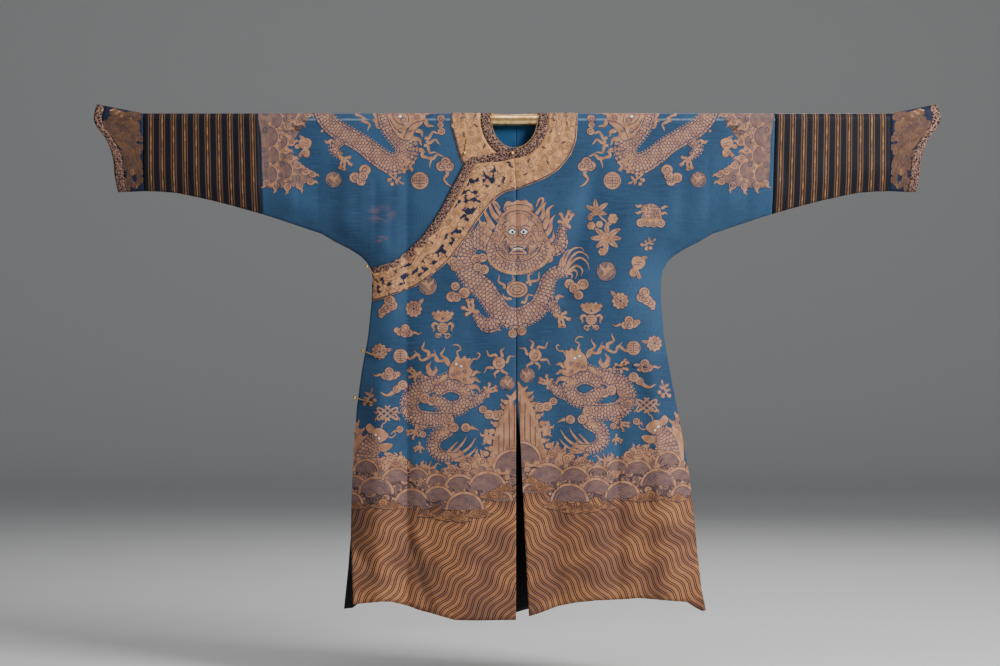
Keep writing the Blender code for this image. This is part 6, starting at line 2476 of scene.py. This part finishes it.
@dataclass
class Shoulder:
    """The dragon, rocks and lucky objects over one shoulder, drawn for the viewer's left and mirrored."""

    w: Weaving
    kit: Motifs

    def rocks(self) -> None:
        """Draws the rocks and waves beside the seam of the striped sleeve."""
        w = self.w
        w.patch(((261, 105), (296, 105), (313, 112), (306, 120), (296, 126), (288, 131), (284, 150),
                 (290, 163), (303, 170), (312, 178), (300, 186), (282, 188), (266, 187), (263, 170),
                 (262, 140)), Hue.MAUVE, level=0.6, rim=0.7)
        for x, y, r, way in ((302, 109, 4.4, 0), (308, 115, 3.6, 10), (298, 122, 4.4, 20),
                             (288, 127, 4.2, 20), (285, 137, 4.4, 0), (292, 143, 3.8, -20),
                             (298, 147, 2.6, -20), (286, 151, 4.0, 0), (291, 159, 4.2, -10),
                             (298, 166, 4.2, 10), (306, 172, 4.2, 0), (313, 175, 3.4, 0), (311, 182, 3.8, 0),
                             (300, 186, 3.8, 60), (288, 187, 4.0, 90), (276, 186, 3.8, 90),
                             (267, 183, 3.4, 120)):
            w.lobe(x, y, r, 1.2, way + 180)
            w.tongue(x, y, r * 2.2, way + 10, r * 0.8, 1.0, 0.8)
        for number, (x, y, r) in enumerate(((292, 113, 7), (275, 120, 9), (270, 137, 10), (283, 142, 6),
                                            (272, 156, 9), (286, 171, 8), (271, 175, 8))):
            for reach, hue, rise in ((r + 1.4, Hue.TAN, 0.0), (r, Hue.LINE, 0.4), (r - 0.7, Hue.BILLOW, 0.7)):

                def place(a: np.ndarray, b: np.ndarray, reach: float = reach) -> np.ndarray:
                    way = math.pi * (a - 0.5)
                    return np.stack([x + reach * 0.85 * b * np.cos(way), y + reach * b * np.sin(way)], axis=1)

                def grain(a: np.ndarray, b: np.ndarray, reach: float = reach) -> np.ndarray:
                    return np.stack([b * reach, a * reach * 3], axis=1)

                w.grid(12, 3, place, hue, 1.6 + 0.3 * number + rise, grain)
            for step in range(6):
                way = math.pi * (step / 5 - 0.5)
                w.disc(x + (r + 2.6) * 0.85 * math.cos(way), y + (r + 2.6) * math.sin(way), 1.5,
                       level=1.5 + 0.3 * number)
        for x, y in ((266, 113), (285, 119), (266, 130), (283, 142), (264, 150), (282, 165), (267, 165),
                     (279, 186), (299, 178)):
            w.curl(x, y, 3.0, x * 11 % 360, 1.3, 2.4)

    def dragon(self) -> None:
        """Draws the dragon that lies over the shoulder."""
        w = self.w
        w.scaled_body(((322, 104), (324, 116), (334, 128), (349, 137), (364, 146), (378, 157), (393, 165),
                       (404, 160), (408, 149), (400, 137), (391, 126), (386, 112), (386, 104)),
                      (15, 16, 17, 17, 17, 18, 19, 20, 21, 21, 20, 18, 17), 1.5, -1)
        w.patch(((386, 108), (396, 104), (412, 104), (425, 110), (424, 122), (416, 130), (410, 140),
                 (400, 138), (392, 128)), level=3.0, rim=0.7)
        for x, y, r, start in ((396, 113, 3.4, 0), (404, 121, 3.6, 90), (412, 113, 3.4, 200),
                               (401, 131, 3.0, 40), (418, 118, 3.0, 120), (409, 130, 2.8, 10)):
            w.curl(x, y, r, start, 1.4, 3.8)
        for path in (((424, 121), (416, 123), (410, 127), (406, 134), (404, 139)),
                     ((396, 109), (403, 111), (408, 116), (409, 123)),
                     ((392, 113), (394, 119), (399, 124), (405, 126)), ((413, 106), (419, 109), (423, 114)),
                     ((390, 120), (395, 128), (402, 134))):
            w.line(path, 0.8, 4.2)
        for x, y, turn in ((411, 127.5, 120), (414.5, 125, 110), (418, 123.5, 100)):
            w.tongue(x, y, 3.4, turn, 1.5, 0.2, 4.3)
        w.disc(400.5, 117, 1.7, 1.7, Hue.WHITE, 4.6, rim=0.5)
        for x, y, length, turn, width, bend in ((424, 112, 12, 5, 4.6, 0.8), (422, 120, 14, 35, 4.4, -0.9),
                                                (416, 128, 12, 50, 4.4, 0.9), (412, 136, 14, 40, 4.6, 0.9),
                                                (430, 108, 10, -10, 4, 1)):
            w.tongue(x, y, length, turn, width, bend, 2.4)
        w.scaled_body(((344, 139), (336, 145), (336, 151), (342, 156)), (11, 11, 9, 6), 1.0)
        w.claw(344, 160, 80, 1.2)
        w.tongue(333, 143, 9, 190, 4, 0.8, 0.8)
        w.scaled_body(((408, 146), (415, 151), (412, 158), (408, 161)), (10, 10, 8, 6), 1.0)
        w.claw(407, 163, 100, 1.2)
        w.tongue(415, 150, 11, 10, 4.4, 0.8, 0.8)
        for x, y, length, turn, bend in ((425, 138, 16, -20, 1.2), (424, 146, 15, 35, -1.2),
                                         (427, 141, 14, 10, 1.3), (423, 152, 18, 60, 1.3),
                                         (430, 158, 14, -10, 1), (365, 118, 14, 70, 1.3),
                                         (373, 121, 14, 40, -1.2), (357, 112, 12, 60, 1.2),
                                         (376, 112, 11, 100, 1.0)):
            w.tongue(x, y, length, turn, 3.0, bend, 0.8)
        w.disc(322.5, 131.5, 1.4, level=1)

    def objects(self) -> None:
        """Draws the lucky objects and clouds below the dragon."""
        kit = self.kit
        kit.gourd(306, 148, 0.95)
        kit.bird_roundel(334, 180, 7.8)
        kit.cloud(361, 173.5, ((-5.5, 4.5, 5.4), (0.4, 8.2, 4.6), (4.4, -3.2, 5.6), (2.5, 3, 4.6)))
        kit.sprig(396, 180, 0.95, 100)
        kit.longevity(420, 181, 8.6)
        kit.cloud(441, 126, ((0, -7, 3.8), (0.6, 6, 3.8), (-0.4, -0.6, 3.2)))
        kit.drift(445.5, 166, 1.25)

    def make(self) -> None:
        """Draws everything over the shoulder."""
        self.rocks()
        self.dragon()
        self.objects()


@dataclass
class FrontFigures:
    """Every figure of the outer layer of the front, and those of the under layer's shoulder."""

    dress: Finishes

    def skirt_objects(self, kit: Motifs) -> None:
        """Draws the lucky objects and clouds beside the dragons."""
        w = kit.w
        for flip in (False, True):
            with w.mirrored(flip, 1034, -8):
                kit.comma(388, 307, 1.0)
                kit.bank(405, 331, 0.95, 6)
                kit.flower(414, 309, 8.4, 0, -45)
                kit.flower(380, 351.5, 8.0, 20, -30)
                kit.longevity(401, 356, 7.0)
                kit.bank(390, 374, 0.95, 0, flip=True)
                kit.sprig(370, 397, 1.0, 0)
                kit.endless_knot(388, 413, 0.92)
                kit.vase(443, 325, 0.92)
                if not flip:
                    kit.cloud(458, 294, ((-2.6, -7.6, 4.4), (-6, 2.8, 5.4), (6.4, -1, 5.6), (-1.4, 3.4, 4.6)))
                kit.pearl(499, 363, 6.2)
                kit.bird_roundel(507, 383, 7.4)
                kit.sea_creature(487, 437)
                kit.fish(382, 436)
                kit.coral(427, 468, 0.9)
                kit.leaf(355, 434, 9, -70, 1)
                kit.leaf(356, 436, 8, -30, 1)

    def upper_objects(self, kit: Motifs) -> None:
        """Draws the objects of the upper right, and the clouds round the chest dragon."""
        kit.upper_group()
        kit.sprig(648.5, 243.5, 0.85, 40)
        kit.cloud(576, 288, ((-6.8, -4, 5.0), (6.6, -3.6, 5.6), (-2.0, 0, 5.4), (2.2, 7.2, 4.6)), level=2.4)
        kit.cloud(481, 265, ((-4.6, -5.4, 5.4), (1.4, -7, 4.6), (3.0, 4.6, 5.0), (-3.4, 2.4, 4.4)), level=5.2)
        kit.cloud(453, 262, ((0, 0, 5.2), (5.6, 3.6, 4.6), (1.6, 5.6, 3.8)), level=3)
        kit.bird_roundel(428, 286, 9.0)

    def make(self) -> list[bpy.types.Object]:
        """Builds the pieces of the front."""
        base = CUT.cloth_top + CUT.figure_rise
        lap = Weaving("woven_figures_front", Face.FRONT, Layer.LAP, base)
        kit = Motifs(lap)
        kit.frontal_dragon()
        self.upper_objects(kit)
        lap.grain_size = 1.12
        kit.profile_dragon()
        kit.profile_dragon(True)
        self.skirt_objects(kit)
        lap.grain_size = 1.2
        with lap.mirrored(True, 1032):
            Shoulder(lap, kit).make()
        dressed = [lap.finish(self.dress)]
        water = Weaving("woven_waves_front", Face.FRONT, Layer.LAP, base)
        Waves().make(water)
        dressed.append(water.finish(self.dress))
        under = Weaving("woven_figures_shoulder", Face.FRONT, Layer.UNDER, base)
        under.grain_size = 1.2
        Shoulder(under, Motifs(under)).make()
        dressed.append(under.finish(self.dress))
        return dressed


@dataclass
class BackFigures:
    """The figures of the back, which repeat those of the front."""

    dress: Finishes

    def make(self) -> list[bpy.types.Object]:
        """Builds the pieces of the back."""
        base = CUT.cloth_top + CUT.figure_rise
        w = Weaving("woven_figures_back", Face.BACK, Layer.UNDER, base)
        kit = Motifs(w)
        kit.frontal_dragon()
        w.grain_size = 1.12
        kit.profile_dragon()
        kit.profile_dragon(True)
        FrontFigures(self.dress).skirt_objects(kit)
        w.grain_size = 1.2
        for flip in (False, True):
            with w.mirrored(flip, 1034):
                kit.upper_group()
            with w.mirrored(flip, 1032):
                Shoulder(w, kit).make()
        water = Weaving("woven_waves_back", Face.BACK, Layer.UNDER, base)
        Waves(right_lines=(*Waves.right_lines[:2], (516, 0, 516, 600, 1))).make(water)
        return [w.finish(self.dress), water.finish(self.dress)]


@dataclass
class Stage:
    """Pale floor and backdrop, soft light, and the camera at the photograph's place."""

    floor: float = -1.46
    depth: float = 9.0
    bend: float = 3.0
    reach: float = 40.0
    centre: tuple[float, float] = (-0.0442, -0.5538)
    distance: float = 7.0
    view: float = 2.6

    def backdrop(self) -> bpy.types.Object:
        """Builds the floor, which runs up into the backdrop."""
        shape = bmesh.new()
        line = [shape.verts.new((-self.reach, -self.reach, self.floor)),
                shape.verts.new((-self.reach, self.depth, self.floor))]
        for step in range(1, 17):
            turn = math.pi / 2 * step / 16
            place = (-self.reach, self.depth + self.bend * math.sin(turn),
                     self.floor + self.bend * (1 - math.cos(turn)))
            line.append(shape.verts.new(place))
        line.append(shape.verts.new((-self.reach, self.depth + self.bend, 12)))
        edges = [shape.edges.new(pair) for pair in zip(line, line[1:])]
        made = bmesh.ops.extrude_edge_only(shape, edges=edges)["geom"]
        bmesh.ops.translate(shape, vec=(2 * self.reach, 0, 0),
                            verts=[one for one in made if isinstance(one, bmesh.types.BMVert)])
        bmesh.ops.recalc_face_normals(shape, faces=shape.faces)
        data = bpy.data.meshes.new("pale_floor")
        shape.to_mesh(data)
        shape.free()
        data.shade_smooth()
        floor = bpy.data.objects.new("pale_floor", data)
        bpy.context.scene.collection.objects.link(floor)
        paper = bpy.data.materials.new("pale_paper")
        paper.use_nodes = True
        shader = paper.node_tree.nodes["Principled BSDF"]
        shader.inputs["Base Color"].default_value = colour("#D9D9D8")
        shader.inputs["Roughness"].default_value = 0.9
        data.materials.append(paper)
        return floor

    def lamp(self, name: str, place: tuple, target: tuple, size: float, power: float) -> None:
        """Hangs a soft square light that looks at a point."""
        data = bpy.data.lights.new(name, "AREA")
        data.shape = "SQUARE"
        data.size = size
        data.energy = power
        made = bpy.data.objects.new(name, data)
        made.location = place
        made.rotation_euler = (Vector(target) - Vector(place)).to_track_quat("-Z", "Y").to_euler()
        bpy.context.scene.collection.objects.link(made)

    def make(self) -> None:
        """Builds the floor, the lights and the camera."""
        self.backdrop()
        self.lamp("key_light", (3.3, -2.9, 1.9), (0.5, 0, -0.5), 1.8, 335)
        self.lamp("side_light", (-3.4, -3.0, 0.9), (-0.2, 0, -0.7), 1.6, 12)
        self.lamp("top_light", (0.2, -1.1, 2.6), (0.1, 0, -0.1), 1.6, 40)
        self.lamp("back_light", (0.9, 3.8, 2.3), (0, 0, -0.6), 1.6, 75)
        world = bpy.data.worlds.new("studio")
        world.use_nodes = True
        world.node_tree.nodes["Background"].inputs[0].default_value = (0.9, 0.93, 1.0, 1)
        world.node_tree.nodes["Background"].inputs[1].default_value = 0.13
        bpy.context.scene.world = world
        data = bpy.data.cameras.new("camera")
        data.sensor_width = 36
        data.lens = data.sensor_width * self.distance / self.view
        camera = bpy.data.objects.new("camera", data)
        camera.location = (self.centre[0], -self.distance, self.centre[1])
        camera.rotation_euler = (math.pi / 2, 0, 0)
        bpy.context.scene.collection.objects.link(camera)
        bpy.context.scene.camera = camera


@dataclass
class Robe:
    """The whole robe on its rod."""

    dress: Finishes = field(default_factory=Finishes)
    # the figures that lie on each panel
    woven_on: dict[str, tuple[str, ...]] = field(default_factory=lambda: {
        "front_left": ("woven_figures_front", "woven_waves_front"),
        "front_right": ("woven_figures_shoulder",),
        "back_left": ("woven_figures_back", "woven_waves_back"),
    })
    # the panel below each band
    below: dict[str, str] = field(default_factory=lambda: {
        "edging_lap": "front_left", "facing_left": "front_left", "facing_lap": "outer_lap",
        "edging_right": "front_right", "facing_right": "front_right", "edging_back_left": "back_left",
        "edging_back_right": "back_right", "facing_back_left": "back_left", "facing_back_right": "back_right",
    })

    @staticmethod
    def hem(rows: Table, tuck: float = 0.0) -> Callable[[np.ndarray], np.ndarray]:
        """Depths of a hem at shares of the way from side to centre, less a tuck."""
        return lambda s: -read(rows, s) * MM - tuck

    @staticmethod
    def area(made: bpy.types.Object, size: tuple[float, float], digits: int = 4) -> float:
        """Area of a piece of cloth, at most that of its flat size."""
        return round(min(sum(one.area for one in made.data.polygons), size[0] * size[1]), digits)

    def panels(self) -> list[Panel]:
        """The five panels of gauze."""
        half = 0.02 * MM
        front, back = Face.FRONT, Face.BACK
        return [
            Panel("gauze_front_right", "front_right", Side.RIGHT, front, Layer.UNDER, DRAPE.left_edge,
                  self.hem(CUT.under_lap_hem), CUT.under_lap_edge, (0.67, 1.24)),
            Panel("gauze_front_left", "front_left", Side.LEFT, front, Layer.LAP, DRAPE.right_edge,
                  self.hem(CUT.right_hem), CUT.centre_seam + half, (0.672, 1.32), vent=True),
            Panel("gauze_outer_lap", "outer_lap", Side.RIGHT, front, Layer.LAP, DRAPE.left_edge,
                  self.hem(CUT.left_hem), CUT.centre_seam - half, (0.44, 1.22)),
            Panel("gauze_back_right", "back_right", Side.RIGHT, back, Layer.UNDER, CUT.left_back_edge,
                  self.hem(CUT.left_back_hem), CUT.centre_seam - half, (0.672, 1.3)),
            Panel("gauze_back_left", "back_left", Side.LEFT, back, Layer.UNDER, DRAPE.right_edge,
                  self.hem(CUT.right_hem, CUT.hem_tuck), CUT.centre_seam + half, (0.672, 1.3)),
        ]

    def make(self) -> None:
        """Builds every piece."""
        woven = {one.name: one for one in (*FrontFigures(self.dress).make(), *BackFigures(self.dress).make())}
        brocade = Brocade(self.dress).make()
        for panel in self.panels():
            made = panel.make(self.dress)
            self.area(made, panel.flat, 3)
        for side in Side:
            for face in Face:
                made = StripedSleeve(side, face).make(self.dress)
                size = (0.301, 0.27)
                for one in Cuff(side, face).make(self.dress):
                    figured = "brocade" in one.name
                    size = (0.11, 0.245) if figured else (0.026, 0.245)
                    key = f"cuff_{side.name.lower()}_{face.name.lower()}"
        bands = NeckBands()
        for band in (*bands.front(), *bands.back()):
            made = band.make(self.dress)
            size = band.size()
            log.info("%s, flat size %s", made.name, size)
        Cords().make(self.dress)
        for number in range(1, 6):
            frame["nodes"][f"button_{number}"].data.materials[0] = self.dress.gilt
        frame["nodes"]["rod"].data.materials[0] = self.dress.brass


def main() -> None:
    """Builds the robe and its stage."""
    logging.basicConfig(level=logging.INFO, format="%(message)s")
    Stage().make()
    Robe().make()


if __name__ == "__main__":
    main()
